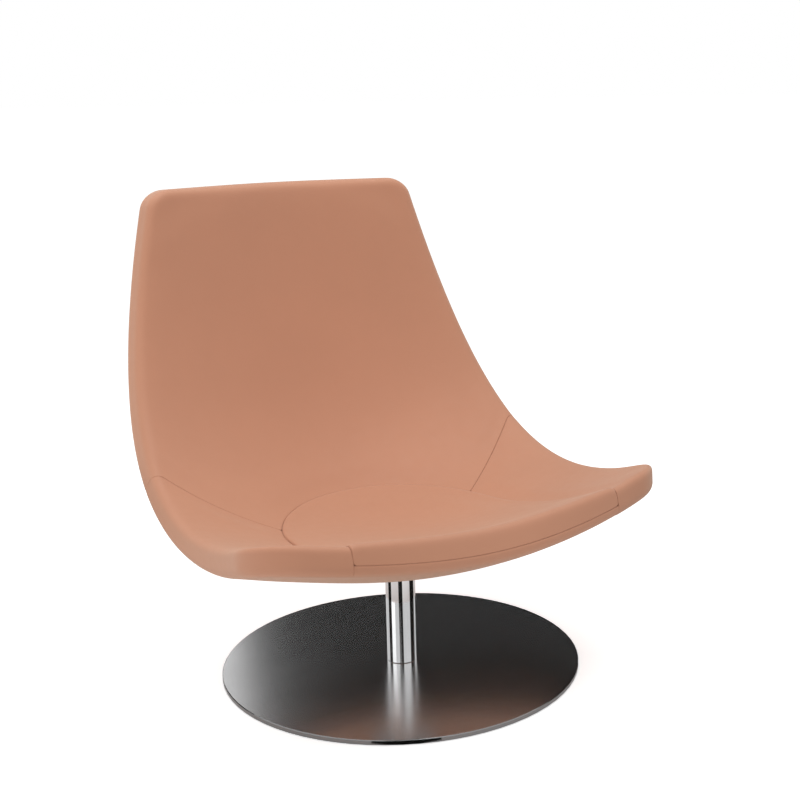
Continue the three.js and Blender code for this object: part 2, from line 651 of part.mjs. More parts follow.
/** Flanged hexagon bolts and the threaded inserts that they screw into. */
function makeFixings() {
  const bearing = FLANGE_BOTTOM - FIT;
  const collarBottom = FLANGE_TOP + 2 * FIT;
  for (const { number, x, y } of boltPlaces) {
    const shank = cylinder(BOLT_DIAMETER / 2, bearing - CUT, bearing + BOLT_LENGTH, ROUND_SMALL);
    const washer = cylinder(BOLT_FLANGE_DIAMETER / 2, bearing - BOLT_FLANGE_THICKNESS, bearing, ROUND_SMALL);
    const headRadius = BOLT_HEAD_ACROSS / 2 / Math.cos(Math.PI / 6);
    const hexagon = cylinder(headRadius, bearing - BOLT_HEAD_HEIGHT, bearing - BOLT_FLANGE_THICKNESS / 2, 6);
    const bolt = toSolid(shank).add(toSolid(washer)).add(toSolid(hexagon)).translate(x, y, 0);
    place(`mount_bolt_${number}`, toGeometry(bolt), 'zinc');

    const thread = BOLT_DIAMETER / 2 + FIT;
    const body = INSERT_DIAMETER / 2;
    const insert = turned([
      [thread, collarBottom], [INSERT_COLLAR_DIAMETER / 2, collarBottom],
      [INSERT_COLLAR_DIAMETER / 2, collarBottom + INSERT_COLLAR_THICKNESS],
      [body, collarBottom + INSERT_COLLAR_THICKNESS],
      [body, collarBottom + INSERT_LENGTH], [thread, collarBottom + INSERT_LENGTH],
    ], ROUND_SMALL);
    insert.translate(x, y, 0);
    place(`threaded_insert_${number}`, insert, 'zinc');
  }
}

/** Moulded inner shell with a boss over each bolt, bored for its insert. */
function makeInnerShell() {
  let shell = layer(BACKING_TOP, BACKING_BOTTOM).intersect(within(RIM_WRAP + LAYER));
  const bossBottom = FLANGE_TOP + FIT;
  const bolts = boltPlaces.map(({ x, y }) => {
    const middle = heightBelow(x, y, BACKING_TOP + SHELL_WALL / 2);
    return { x, y, middle };
  });
  for (const { x, y, middle } of bolts) {
    shell = shell.add(toSolid(cylinder(BOSS_DIAMETER / 2, bossBottom, middle, ROUND_SMALL, x, y)));
  }
  for (const { x, y } of bolts) {
    const collar = bossBottom + FIT + INSERT_COLLAR_THICKNESS + FIT;
    const recess = cylinder(INSERT_COLLAR_DIAMETER / 2 + FIT, bossBottom - CUT, collar, ROUND_SMALL, x, y);
    const depth = bossBottom + Math.max(INSERT_LENGTH, BOLT_LENGTH - FLANGE_THICKNESS) + 2 * FIT;
    const bore = cylinder(INSERT_DIAMETER / 2 + FIT, bossBottom - CUT, depth, ROUND_SMALL, x, y);
    shell = shell.subtract(toSolid(recess)).subtract(toSolid(bore));
  }
  place('inner_shell', toGeometry(shell), 'moulded');
}

/** Cuts the padded seat into its panels and the outer cover. */
function makeUpholstery() {
  const clearance = 4 * (PAD_LIFT + PAD_CROWN); // well over the pad
  const upright = (outline) => toSolid(prism(outline, -CUT, 2 * TOP_HEIGHT, OUTLINE_STEPS));
  const whole = toSolid(plate({ inset: 0, upper: 0, lower: SEAT_THICKNESS, radius: RIM_RADIUS }));
  const hollow = layer(PADDING, SEAT_THICKNESS + CUT).intersect(within(RIM_WRAP));
  const front = whole.subtract(hollow).subtract(upright(padOutline(SEAM)));
  place('back_upholstery', toGeometry(front.intersect(upright(seamRegion(0)))), 'leather');
  place('wing_upholstery_left', toGeometry(front.intersect(upright(seamRegion(1)))), 'leather');
  place('wing_upholstery_right', toGeometry(front.intersect(upright(seamRegion(-1)))), 'leather');
  const aboveCover = layer(-clearance, BACKING_BOTTOM);
  const pad = toSolid(padBlank()).subtract(hollow).intersect(aboveCover).intersect(upright(padOutline(0)));
  place('seat_pad', toGeometry(pad), 'leather');

  const rim = within(-RIM_WRAP).subtract(within(RIM_WRAP + LAYER));
  const rimBesidePad = rim.subtract(upright(padOutline(0)));
  let cover = whole.intersect(layer(COVER_TOP, SEAT_THICKNESS + CUT)).subtract(rimBesidePad);
  for (const { x, y } of boltPlaces) {
    cover = cover.subtract(toSolid(cylinder(BOSS_DIAMETER / 2 + LAYER, 0, TOP_HEIGHT, ROUND_SMALL, x, y)));
  }
  place('outer_cover', toGeometry(cover), 'leather');
}

makeBase();
makeColumn();
makeSpindle();
makeFixings();
makeInnerShell();
makeUpholstery();

export default chair;
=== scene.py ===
import math

import bpy
import numpy as np
from bpy.props import FloatProperty, FloatVectorProperty, PointerProperty
from mathutils import Matrix, Vector


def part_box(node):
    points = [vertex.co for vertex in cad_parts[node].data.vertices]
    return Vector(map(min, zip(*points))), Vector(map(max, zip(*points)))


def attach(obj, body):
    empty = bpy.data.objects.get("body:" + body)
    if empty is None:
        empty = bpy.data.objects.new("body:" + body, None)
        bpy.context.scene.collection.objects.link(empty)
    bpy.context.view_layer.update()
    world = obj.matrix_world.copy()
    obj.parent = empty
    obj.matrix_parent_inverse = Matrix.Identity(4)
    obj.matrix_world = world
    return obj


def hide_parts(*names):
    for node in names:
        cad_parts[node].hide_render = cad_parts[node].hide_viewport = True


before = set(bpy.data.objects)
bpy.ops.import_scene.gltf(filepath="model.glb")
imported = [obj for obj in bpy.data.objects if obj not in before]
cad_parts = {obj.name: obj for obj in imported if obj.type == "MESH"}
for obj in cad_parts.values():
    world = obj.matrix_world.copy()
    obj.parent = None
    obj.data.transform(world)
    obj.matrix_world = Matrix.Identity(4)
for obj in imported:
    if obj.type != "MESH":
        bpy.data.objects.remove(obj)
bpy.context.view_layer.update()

bl_info = {
    "name": "Swivel armchair",
    "version": (1, 0, 0),
    "blender": (4, 5, 0),
    "location": "3D View > Sidebar > Armchair",
    "description": "Dresses the packed swivel armchair: leather cushions, metal finishes and a studio stage",
    "category": "Object",
}

# Sitting surface of the solid model, in metres: control points of its centre line and its side edge,
# from the front to the top
CENTRE_LINE = ((0, -0.298, 0.318), (0, -0.054, 0.193), (0, 0.360, 0.078), (0, 0.406, 0.787))
SIDE_LINE = (
    (0.3745, -0.2445, 0.361), (0.3425, -0.0215, 0.251), (0.3965, 0.309, 0.242), (0.247, 0.374, 0.786))
DISH_SOFTNESS = 0.42  # how flat the dish is in its middle
LIP_FULLNESS = 2.485  # power of the lip's curve in plan
LIP_FADE = 3  # how fast that curve gives way to the dish behind the lip
MEASURED_SHARE = 0.7  # of the half width, where lengths along the seat are measured
UPRIGHT_REACH = 0.73  # share of the seat over which its thickness turns from upright to the normal
FRONT_CORNER = 0.0745
TOP_CORNER = 0.033

# Pad and side seams in plan
PAD_RADIUS = 0.198
PAD_CENTRE = -0.017
PAD_FLARE = math.radians(7.7)
PAD_TANGENT = PAD_CENTRE + PAD_RADIUS * math.sin(PAD_FLARE)
AHEAD_OF_LIP = -0.30
SEAM_INNER = (0.186, 0.066)
SEAM_OUTER = (0.343, 0.175)

# Where the leather ends
LOW_SEAM_DEPTH = 0.0297  # under the sitting surface
UNDER_SEAM_INSET = 0.0152  # from the outline

# How finely the curves are made
CORNER_POINTS = 120  # round a corner of the outline
OUTLINE_POINTS = 900  # along a side of it
PAD_REAR_POINTS = 400
PAD_SIDE_POINTS = 300
UNDER_LIP_POINTS = 40  # from the end of the leather to the low seam
ROUND_LIP_POINTS = 90  # from the low seam to the flat of the seat
SEAM_POINTS = 700
SEAM_RIM_POINTS = 130
RIM_STEP = 0.0005
SIDE_STEP = 0.001
HALVINGS = 45  # of a range, in the search for a place on the surface
GRID_PASSES = 30  # that smooth a panel's grid
BATCH = 1500  # points that are compared at a time

# Meshes
FOUR_SIDES = ([0], [1], [2], [3])  # sides of a panel's border that make up each side of its grid
EDGE_RINGS = (0.0004, 0.0009, 0.0017, 0.0030, 0.0055)  # distances of the mesh rows from a seam
PAD_RINGS = (0.0008, 0.0018, 0.0035, 0.0060, 0.0090, 0.0125)
TAB_ROWS = (0, 0.0004, 0.0010, 0.0020, 0.0035)  # under the end of the cover's tab
TAB_COLUMNS = (0.0004, 0.0010, 0.0020, 0.0040)  # beside its ends
TAB_FINE = 0.006  # width of that fine part
TAB_WIDTH_SHARE = 0.62  # share of the lip's mesh steps that the tab takes
RIM_RISE = 0.006  # over which a seam changes once it is on the rim
PADDING_AT = (-0.030, -0.004, 0.050, 0.060)  # distances outside the flat of the seat
PADDING = (0.0165, 0.0105, 0.0105, 0.0106)  # thickness of the padding there
RIM_END = (0.052, 0.060)  # distances outside the flat where the rim ends, under the seat
BESIDE_PAD = (0.003, 0.006)  # distances from the pad's side over which the wing's edge changes
SIDE_SEAM_AT = (0.12, 0.16)  # lengths along the seat, from which a seam on the rim is a side seam
TAB_RISE = 0.003  # under the low seam, over which the wing's edge closes beside the cover's tab
PULL_END = 0.01  # outside the flat, where the leather is no longer drawn in beside a seam
LIFT_END = 0.8  # share of the upper rounding of the rim, from which the pad's lift fades
FRONT_START = 0.004  # outside the flat, from which the pad's sides have the tighter seams
TAB_SIDE = (0.004, 0.003)  # distances inside the tab's side, over which its roll closes
TAB_END = (0.0005, 0.002)  # the same from the end of the tab
PAINTED_SHADE_REACH = 0.0013  # over which the leather beside a seam is painted darker, as painted shade of its groove
SEAM_PULL_REACH = 0.009  # over which it is drawn in
FRONT_SEAM_SHARE = 0.26  # of the depth and roll of the other seams, on the tighter ones of the front edge
CLOSED_SHARE = 0.95  # by which the roll of an edge closes where no seam shows
THREAD_STEP = 0.003
THREAD_SIDES = 8

# Cloth simulation. Each pair of distances is where a panel is held, and where it is free, or the reverse
FREE_FROM_SEAM = (0.003, 0.045)
HELD_AT_RIM = (0.002, 0.020)
PAD_FREE_FROM_SEAM = (0.010, 0.060)
PAD_HELD_AT_RIM = (-0.010, 0.015)
COVER_FREE_FROM_COLUMN = (0.085, 0.16)
COVER_HELD_AT_RIM = (0.0, 0.01)
HELD = 1.0  # weight of a vertex that the simulation can't move
CLOTH_FRAMES = 20
CLOTH_PRESSURE = 4
SMOOTHING_PASSES = 12


def length_property(name, description, default, least):
    return FloatProperty(
        name=name, description=description, default=default, min=least, precision=5, unit="LENGTH")


def colour_property(name, default):
    return FloatVectorProperty(
        name=name, description=f"{name}, linear values", subtype="COLOR", size=3, min=0, max=1,
        default=default)


class ArmchairSizes(bpy.types.PropertyGroup):
    thickness: length_property("Seat thickness", "From the sitting surface to the underside", 0.044, 0.02)
    rim_radius: length_property("Rim radius", "Rounding of the rim, above and below", 0.012, 0.005)
    grid_step: length_property("Grid step", "Distance between mesh rows before subdivision", 0.008, 0.004)
    seam_gap: length_property("Seam gap", "Half of the gap between two sewn panels", 0.00006, 0.00002)
    seam_roll: length_property(
        "Seam roll", "Radius with which a panel turns down into its seam", 0.0010, 0.0004)
    seam_pull: length_property("Seam pull", "How far the leather is drawn in beside a seam", 0.0007, 0)
    pad_lift: length_property("Pad lift", "Height of the raised pad's edge", 0.004, 0)
    pad_edge: length_property("Pad edge", "Width over which the pad's edge rounds off", 0.012, 0.002)
    pad_crown: length_property("Pad crown", "Further rise of the pad to its middle", 0.006, 0)
    swell: length_property("Swell", "Most that the simulated padding may swell", 0.003, 0)
    thread: length_property("Seam thread", "Radius of the thread at the bottom of a seam", 0.0003, 0.0001)


class ArmchairColours(bpy.types.PropertyGroup):
    leather: colour_property("Leather", (0.600, 0.277, 0.167))
    # Painted shade: the darker leather colour painted beside the seams, in place of the shade in their
    # grooves
    leather_painted_shade: colour_property("Painted seam shade on the leather", (0.440, 0.185, 0.108))
    polished_steel: colour_property("Polished steel", (0.760, 0.765, 0.770))
    plate_steel: colour_property("Satin plate steel", (0.720, 0.720, 0.725))
    zinc: colour_property("Zinc plated steel", (0.500, 0.510, 0.520))
    black: colour_property("Black plastic", (0.022, 0.022, 0.024))
    nylon: colour_property("Natural nylon", (0.680, 0.670, 0.620))
    moulding: colour_property("Moulded shell", (0.070, 0.055, 0.045))
    floor: colour_property("Floor", (0.940, 0.940, 0.940))


# Sitting surface

def smooth_step(value, low, high):
    t = np.clip((value - low) / (high - low), 0, 1)
    return t * t * (3 - 2 * t)


def bezier(controls, v):
    v = np.asarray(v, float)[..., None]
    w = 1 - v
    a, b, c, d = (np.array(point, float) for point in controls)
    return w ** 3 * a + 3 * w * w * v * b + 3 * w * v * v * c + v ** 3 * d


def surface(u, v):
    """Point of the sitting surface: u across from -1 to 1, v from the lip (0) to the top (1)."""
    middle, side = bezier(CENTRE_LINE, v), bezier(SIDE_LINE, v)
    hollow = (np.hypot(u, DISH_SOFTNESS) - DISH_SOFTNESS) / (math.hypot(1, DISH_SOFTNESS) - DISH_SOFTNESS)
    near_lip = np.maximum(1 - v, 0) ** LIP_FADE
    outline = hollow + (np.abs(u) ** LIP_FULLNESS - hollow) * near_lip
    return np.stack([
        side[..., 0] * u,
        middle[..., 1] + (side[..., 1] - middle[..., 1]) * outline,
        middle[..., 2] + (side[..., 2] - middle[..., 2]) * hollow], -1)


def surface_normal(u, v):
    """Unit normal of the sitting surface, on the sitter's side."""
    step = 1e-3
    across = surface(u + step, v) - surface(u - step, v)
    along = surface(u, v + step) - surface(u, v - step)
    normal = np.cross(across, along)
    return normal / np.linalg.norm(normal, axis=-1, keepdims=True)


def thickness_direction(u, v):
    """Direction of the seat's thickness: the normal behind, more upright towards the front wings."""
    direction = surface_normal(u, v)
    upright = smooth_step(1 - v / UPRIGHT_REACH, 0, 1)
    direction[..., 0] *= 1 - upright
    direction[..., 1] *= 1 - upright * np.minimum(u * u, 1)
    return direction / np.linalg.norm(direction, axis=-1, keepdims=True)


def run_length(points):
    """Length along a path, at each of its points."""
    return np.concatenate([[0], np.cumsum(np.linalg.norm(np.diff(points, axis=0), axis=1))])


TABLE_V = np.linspace(-0.2, 1.2, 1401)
TABLE_LENGTH = run_length(surface(np.full(TABLE_V.shape, MEASURED_SHARE), TABLE_V))
TABLE_LENGTH = TABLE_LENGTH - np.interp(0, TABLE_V, TABLE_LENGTH)
SURFACE_LENGTH = float(np.interp(1, TABLE_V, TABLE_LENGTH))


def v_at(length):
    """Place v on the surface at a length along the seat."""
    return np.interp(length, TABLE_LENGTH, TABLE_V)


def half_width(length):
    """Half of the seat's width at a length along it."""
    return bezier(SIDE_LINE, v_at(length))[..., 0]


def flat_point(plan):
    """Plan positions to (x, length along the seat) positions."""
    x, y = np.asarray(plan, float).T
    low, high = np.full(x.shape, -0.1), np.full(x.shape, 1.0)
    for _ in range(HALVINGS):
        v = (low + high) / 2
        before = surface(x / bezier(SIDE_LINE, v)[..., 0], v)[..., 1] < y
        low, high = np.where(before, v, low), np.where(before, high, v)
    return np.stack([x, np.interp(low, TABLE_V, TABLE_LENGTH)], -1)


# Outline of the seat, rounded over the rim

def at_length(values, s, at):
    """Rows of values that are known at the lengths s, read at other lengths."""
    return np.stack([np.interp(at, s, column) for column in values.T], -1)


def resample(points, step):
    """A path in even steps of about the given length."""
    s = run_length(points)
    return at_length(points, s, np.linspace(0, s[-1], max(int(round(s[-1] / step)), 1) + 1))


def left_of(points, closed=False):
    """Unit normals to the left of a path's direction."""
    if closed:
        direction = np.roll(points, -1, axis=0) - np.roll(points, 1, axis=0)
    else:
        direction = np.gradient(points, axis=0)
    direction = direction / np.linalg.norm(direction, axis=1, keepdims=True)
    return np.stack([-direction[:, 1], direction[:, 0]], -1)


def outline_half():
    """Right half of the outline in (x, length), from the middle of the lip to the middle of the top."""
    turn = np.linspace(0, math.pi / 2, CORNER_POINTS)
    front = FRONT_CORNER * (1 - np.cos(turn))
    back = TOP_CORNER * (1 - np.cos(turn))
    straight = np.linspace(FRONT_CORNER, SURFACE_LENGTH - TOP_CORNER, OUTLINE_POINTS)[1:-1]
    length = np.concatenate([front, straight, SURFACE_LENGTH - back[::-1]])
    drop = np.zeros(length.shape)
    drop[:CORNER_POINTS] = FRONT_CORNER * (1 - np.sin(turn))
    drop[-CORNER_POINTS:] = TOP_CORNER * (1 - np.sin(turn[::-1]))
    side = np.stack([half_width(length) - drop, length], -1)
    return np.concatenate([[[0, 0]], side, [[0, SURFACE_LENGTH]]])


class Rim:
    """The line where the flat of the seat turns into its round rim, with its outward normals."""

    def __init__(self, radius, thickness):
        half = outline_half()
        loop = np.concatenate([half, (half * [-1, 1])[::-1][1:]])
        loop = resample(loop, RIM_STEP)[:-1]
        self.radius, self.thickness = radius, thickness
        self.quarter = radius * math.pi / 2
        self.wall = thickness - 2 * radius
        self.points = loop + left_of(loop, True) * radius
        self.outward = -left_of(self.points, True)

    def foot(self, points):
        """Nearest point of the line, its outward normal and the distance outside it."""
        following = np.roll(self.points, -1, axis=0) - self.points
        reach = (following ** 2).sum(1)
        found = []
        for start in range(0, len(points), BATCH):
            p = points[start:start + BATCH, None]
            nearest = ((p - self.points) ** 2).sum(2).argmin(1)
            index = np.stack([nearest - 1, nearest], 1) % len(self.points)
            t = np.clip(((p - self.points[index]) * following[index]).sum(2) / reach[index], 0, 1)[..., None]
            spot = self.points[index] + following[index] * t
            after = (index + 1) % len(self.points)
            normal = self.outward[index] * (1 - t) + self.outward[after] * t
            closer = np.arange(len(p)), ((p - spot) ** 2).sum(2).argmin(1)
            spot, normal = spot[closer], normal[closer]
            normal = normal / np.linalg.norm(normal, axis=1, keepdims=True)
            away = p[:, 0] - spot
            outside = np.sqrt((away ** 2).sum(1)) * np.sign((away * normal).sum(1))
            found.append((spot, normal, outside))
        return [np.concatenate(parts) for parts in zip(*found)]

    def wrapped(self, at):
        """Inset, depth and outward direction at a distance round the rim from the top flat."""
        r, q, w = self.radius, self.quarter, self.wall
        over = np.clip(at / r, 0, math.pi / 2)
        under = np.clip((at - q - w) / r, 0, math.pi / 2)
        down = np.clip(at - q, 0, w)
        past = np.maximum(at - 2 * q - w, 0)
        upper = at <= q + w / 2
        inset = np.where(upper, r * (1 - np.sin(over)), r * (1 - np.cos(under))) + past
        depth = r * (1 - np.cos(over)) + down + r * np.sin(under)
        out_inset = np.where(upper, -np.sin(over), -np.cos(under))
        out_depth = np.where(upper, -np.cos(over), np.sin(under))
        return inset, depth, out_inset, out_depth

    def place(self, points, foot, out, up=0.0, below=False):
        """Unrolled positions to the room. out goes along the face's normal, up towards the sitter.

        Positions are in (x, length) where the seat is flat and run on round the rim. With below they
        start from the underside instead of the sitting surface.
        """
        spot, normal, outside = foot
        at = np.maximum(outside, 0)
        inset, depth, out_inset, out_depth = self.wrapped(at)
        if below:
            depth, out_depth = self.thickness - depth, -out_depth
        inset = inset + out * out_inset
        depth = depth + out * out_depth - up
        flat = (outside <= 0)[:, None]
        where = np.where(flat, points, spot + normal * (self.radius - inset)[:, None])
        v = v_at(where[:, 1])
        u = where[:, 0] / bezier(SIDE_LINE, v)[:, 0]
        return surface(u, v) - thickness_direction(u, v) * depth[:, None]


# Panels: rings along the edge, and a smooth grid inside them

class Side:
    """One side of a panel, run with the panel on its left. tight gives 1 where its seam is open."""

    def __init__(self, points, count, gap, tight=None):
        points = np.asarray(points, float)
        self.points = resample(points, SIDE_STEP)
        self.shift = np.zeros(len(self.points))
        if tight is not None:
            s = run_length(points)
            open_share = np.interp(np.linspace(0, s[-1], len(self.points)), s, tight)
            self.shift = gap * (1 - open_share)
        self.normals = left_of(self.points)
        self.s = run_length(self.points)
        self.length = self.s[-1]
        self.shares = np.linspace(0, 1, count + 1)

    def tangent(self, end):
        a, b = (self.points[-2], self.points[-1]) if end else (self.points[0], self.points[1])
        return (b - a) / np.linalg.norm(b - a)

    def offset(self, distance, start_trim, end_trim):
        """The side moved into the panel, shortened or lengthened at its corners."""
        s = self.shares * self.length
        fade = min(max(3 * abs(start_trim), 3 * abs(end_trim), 0.03), self.length / 2)
        s = s + start_trim * np.clip(1 - s / fade, 0, 1) ** 2
        rest = self.length - self.shares * self.length
        s = s - end_trim * np.clip(1 - rest / fade, 0, 1) ** 2
        point, normal = at_length(self.points, self.s, s), at_length(self.normals, self.s, s)
        normal = normal / np.linalg.norm(normal, axis=1, keepdims=True)
        point = point + np.minimum(s, 0)[:, None] * self.tangent(False)
        point = point + np.maximum(s - self.length, 0)[:, None] * self.tangent(True)
        distance = distance - np.interp(s, self.s, self.shift)
        return point + normal * distance[:, None]


def ring(sides, distance):
    """The sides moved in by a distance, joined at their corners. Corners are shared points."""
    turns = []
    for k, side in enumerate(sides):
        a, b = sides[k - 1].tangent(True), side.tangent(False)
        turns.append(math.atan2(a[0] * b[1] - a[1] * b[0], a @ b))
    moved = []
    for k, side in enumerate(sides):
        start = distance * math.tan(turns[k] / 2)
        end = distance * math.tan(turns[(k + 1) % len(sides)] / 2)
        moved.append(side.offset(distance, start, end))
    for k in range(len(moved)):
        corner = (moved[k - 1][-1] + moved[k][0]) / 2
        moved[k - 1][-1] = corner
        moved[k][0] = corner
    return moved


def coons(bottom, right, top, left):
    """Grid between four sides that run round the panel in one direction."""
    top, left = top[::-1], left[::-1]
    s = np.linspace(0, 1, len(bottom))[None, :, None]
    t = np.linspace(0, 1, len(left))[:, None, None]
    across = bottom[None] * (1 - t) + top[None] * t
    along = left[:, None] * (1 - s) + right[:, None] * s
    corners = (bottom[0] * (1 - s) * (1 - t) + bottom[-1] * s * (1 - t)
               + top[0] * (1 - s) * t + top[-1] * s * t)
    grid = across + along - corners
    for _ in range(GRID_PASSES):
        grid[1:-1, 1:-1] = (grid[:-2, 1:-1] + grid[2:, 1:-1] + grid[1:-1, :-2] + grid[1:-1, 2:]) / 4
    return grid


class Panel:
    """Flat layout of a panel: positions, faces and the border in order."""

    def __init__(self, sides, groups, distances):
        loops = [np.concatenate([part[:-1] for part in ring(sides, d)]) for d in distances]
        last = ring(sides, distances[-1])
        merged = []
        for group in groups:
            parts = [last[k] for k in group]
            merged.append(np.concatenate([parts[0]] + [part[1:] for part in parts[1:]]))
        grid = coons(*merged)
        rows, columns = grid.shape[:2]
        around = len(loops[0])
        self.points = np.concatenate(loops[:-1] + [grid.reshape(-1, 2)])
        first = around * (len(loops) - 1)
        index = np.arange(rows * columns).reshape(rows, columns) + first
        border = np.concatenate([index[0, :-1], index[:-1, -1], index[-1, :0:-1], index[:0:-1, 0]])
        faces = []
        for k in range(len(loops) - 1):
            outer = np.arange(around) + k * around
            inner = outer + around if k < len(loops) - 2 else border
            faces.append(np.stack([outer, np.roll(outer, -1), np.roll(inner, -1), inner], -1))
        inside = np.stack([index[:-1, :-1], index[:-1, 1:], index[1:, 1:], index[1:, :-1]], -1)
        faces.append(inside.reshape(-1, 4))
        self.faces = np.concatenate(faces)
        self.border = np.arange(around)
        self.rings = np.repeat(distances, [around] * (len(loops) - 1) + [rows * columns])


def path_distance(points, path):
    """Distance from each point to a path in the layout."""
    a, b = path[:-1], path[1:]
    along = b - a
    reach = (along ** 2).sum(1)
    nearest = []
    for start in range(0, len(points), BATCH):
        p = points[start:start + BATCH, None]
        t = np.clip(((p - a) * along).sum(2) / reach, 0, 1)
        nearest.append(np.sqrt((((a + along * t[..., None]) - p) ** 2).sum(2).min(1)))
    return np.concatenate(nearest)


def round_drop(distance, radius):
    """How far a rounded edge has fallen at a distance inside it."""
    reach = np.clip(radius - distance, 0, radius)
    return radius - np.sqrt(np.maximum(radius * radius - reach * reach, 0))


class Seat:
    """The seam lines in the layout. The panels on both sides of a seam share its line."""

    def __init__(self, sizes):
        self.sizes = sizes
        self.rim = Rim(sizes.rim_radius, sizes.thickness)
        r, self.total = self.rim.radius, 2 * self.rim.quarter + self.rim.wall
        straight = self.rim.quarter + self.rim.wall
        self.wrap_end = self.total + UNDER_SEAM_INSET - r
        self.low_end = straight + LOW_SEAM_DEPTH - sizes.thickness + r
        self.make_pad_side()
        self.make_seam()
        self.wrap = self.rim.points + self.rim.outward * self.wrap_end
        self.front_corner = self.diagonal(0, 0.1)
        self.top_corner = self.diagonal(SURFACE_LENGTH - 0.1, SURFACE_LENGTH)

    def make_pad_side(self):
        """Right side of the pad, from under the lip to the middle of its round rear end."""
        angles = np.linspace(PAD_FLARE, math.pi / 2, PAD_REAR_POINTS)
        rear = np.stack([PAD_RADIUS * np.cos(angles), PAD_CENTRE + PAD_RADIUS * np.sin(angles)], -1)
        ahead = np.linspace(AHEAD_OF_LIP, PAD_TANGENT, PAD_SIDE_POINTS)[:-1]
        edge = PAD_RADIUS * math.cos(PAD_FLARE) + (PAD_TANGENT - ahead) * math.tan(PAD_FLARE)
        flat = flat_point(np.concatenate([np.stack([edge, ahead], -1), rear]))
        r = self.rim.radius
        flat = flat[flat[:, 1] > r]
        slope = (flat[0, 0] - flat[4, 0]) / (flat[4, 1] - flat[0, 1])
        lip_at = np.concatenate([
            np.linspace(self.wrap_end, self.low_end, UNDER_LIP_POINTS)[:-1],
            np.linspace(self.low_end, 0, ROUND_LIP_POINTS)])
        inset = np.where(lip_at < self.rim.quarter, self.rim.wrapped(lip_at)[0], 0)
        x = flat[0, 0] + slope * (flat[0, 1] - inset)
        self.pad_side = np.concatenate([np.stack([x, r - lip_at], -1), flat])
        self.low_index = UNDER_LIP_POINTS - 1
        self.pad_split = int(np.argmin(np.abs(self.pad_side[:, 0] - PAD_RADIUS * math.cos(math.pi / 4))))

    def make_seam(self):
        """Right side seam, from the pad to the rim and straight on round the rim."""
        t = np.linspace(-0.08, 1.25, SEAM_POINTS)[:, None]  # past both ends, to be cut there
        flat = flat_point(np.array(SEAM_INNER) * (1 - t) + np.array(SEAM_OUTER) * t)
        first = int(np.argmin(path_distance(flat[:200], self.pad_side)))
        self.junction = int(np.argmin(((self.pad_side - flat[first]) ** 2).sum(1)))
        outside = self.rim.foot(flat)[2]
        last = int(np.argmax(outside > -0.001))
        self.rim_index = int(np.argmin(((self.rim.points - flat[last]) ** 2).sum(1)))
        spot, normal = self.rim.points[self.rim_index], self.rim.outward[self.rim_index]
        beyond = np.linspace(0, self.wrap_end, SEAM_RIM_POINTS)[:, None]
        self.seam = np.concatenate([
            self.pad_side[self.junction:self.junction + 1], flat[first + 1:last],
            spot + normal * beyond])

    def diagonal(self, low, high):
        """Index of the middle of the rounded corner on the right between two lengths."""
        x, length = self.rim.points.T
        index = np.flatnonzero((x > 0.05) & (length > low) & (length < high))
        lean = np.abs(np.abs(self.rim.outward[index, 0]) - np.abs(self.rim.outward[index, 1]))
        return int(index[np.argmin(lean)])

    def mirror_index(self, index):
        """Index on the left side of the outline for one on the right."""
        return len(self.wrap) - index

    def count(self, points):
        """Number of mesh steps along a path."""
        return max(int(round(run_length(points)[-1] / self.sizes.grid_step)), 2)

    def tightness(self, path):
        """1 where a seam is open, near 0 where it closes on the rim."""
        return 1 - 0.9 * smooth_step(self.rim.foot(path)[2], -0.002, RIM_RISE)


def loop_part(points, start, end):
    """Part of a closed loop from one index to another, both included."""
    if start > end:
        return np.concatenate([points[start:], points[:end + 1]])
    return points[start:end + 1]


def mirrored(points):
    """A path of the right side as the left side's, run the other way."""
    return (np.asarray(points) * [-1, 1])[::-1]


# Meshes

def add_object(name, data):
    piece = bpy.data.objects.new(name, data)
    bpy.context.scene.collection.objects.link(piece)
    return piece


def closed_mesh(name, faces, border, skin, inner, seam):
    """Closed piece from a layout: its skin, its inner face and the walls between them."""
    n = len(skin)
    following = np.roll(border, -1)
    walls = np.stack([border, border + n, following + n, following], -1)
    faces = np.concatenate([faces, faces[:, ::-1] + n, walls])
    mesh = bpy.data.meshes.new(name)
    mesh.from_pydata(np.concatenate([skin, inner]).tolist(), [], faces.tolist())
    mesh.polygons.foreach_set("use_smooth", [True] * len(mesh.polygons))
    # The seam attribute holds the share of painted shade beside the seams, which the leather material mixes
    # in
    attribute = mesh.attributes.new("seam", "FLOAT", "POINT")
    attribute.data.foreach_set("value", np.concatenate([seam, seam]).astype(np.float32))
    mesh.update()
    return add_object(name, mesh)


def read_rows(rows, name, width, kind=np.float32):
    """A property of all vertices or edges, as an array with one row for each."""
    flat = np.zeros(len(rows) * width, kind)
    rows.foreach_get(name, flat)
    return flat.reshape(-1, width)


def neighbour_mean(values, edges, count):
    """Mean of each vertex's neighbours."""
    total = np.zeros(len(values))
    np.add.at(total, edges[:, 0], values[edges[:, 1]])
    np.add.at(total, edges[:, 1], values[edges[:, 0]])
    return total / count


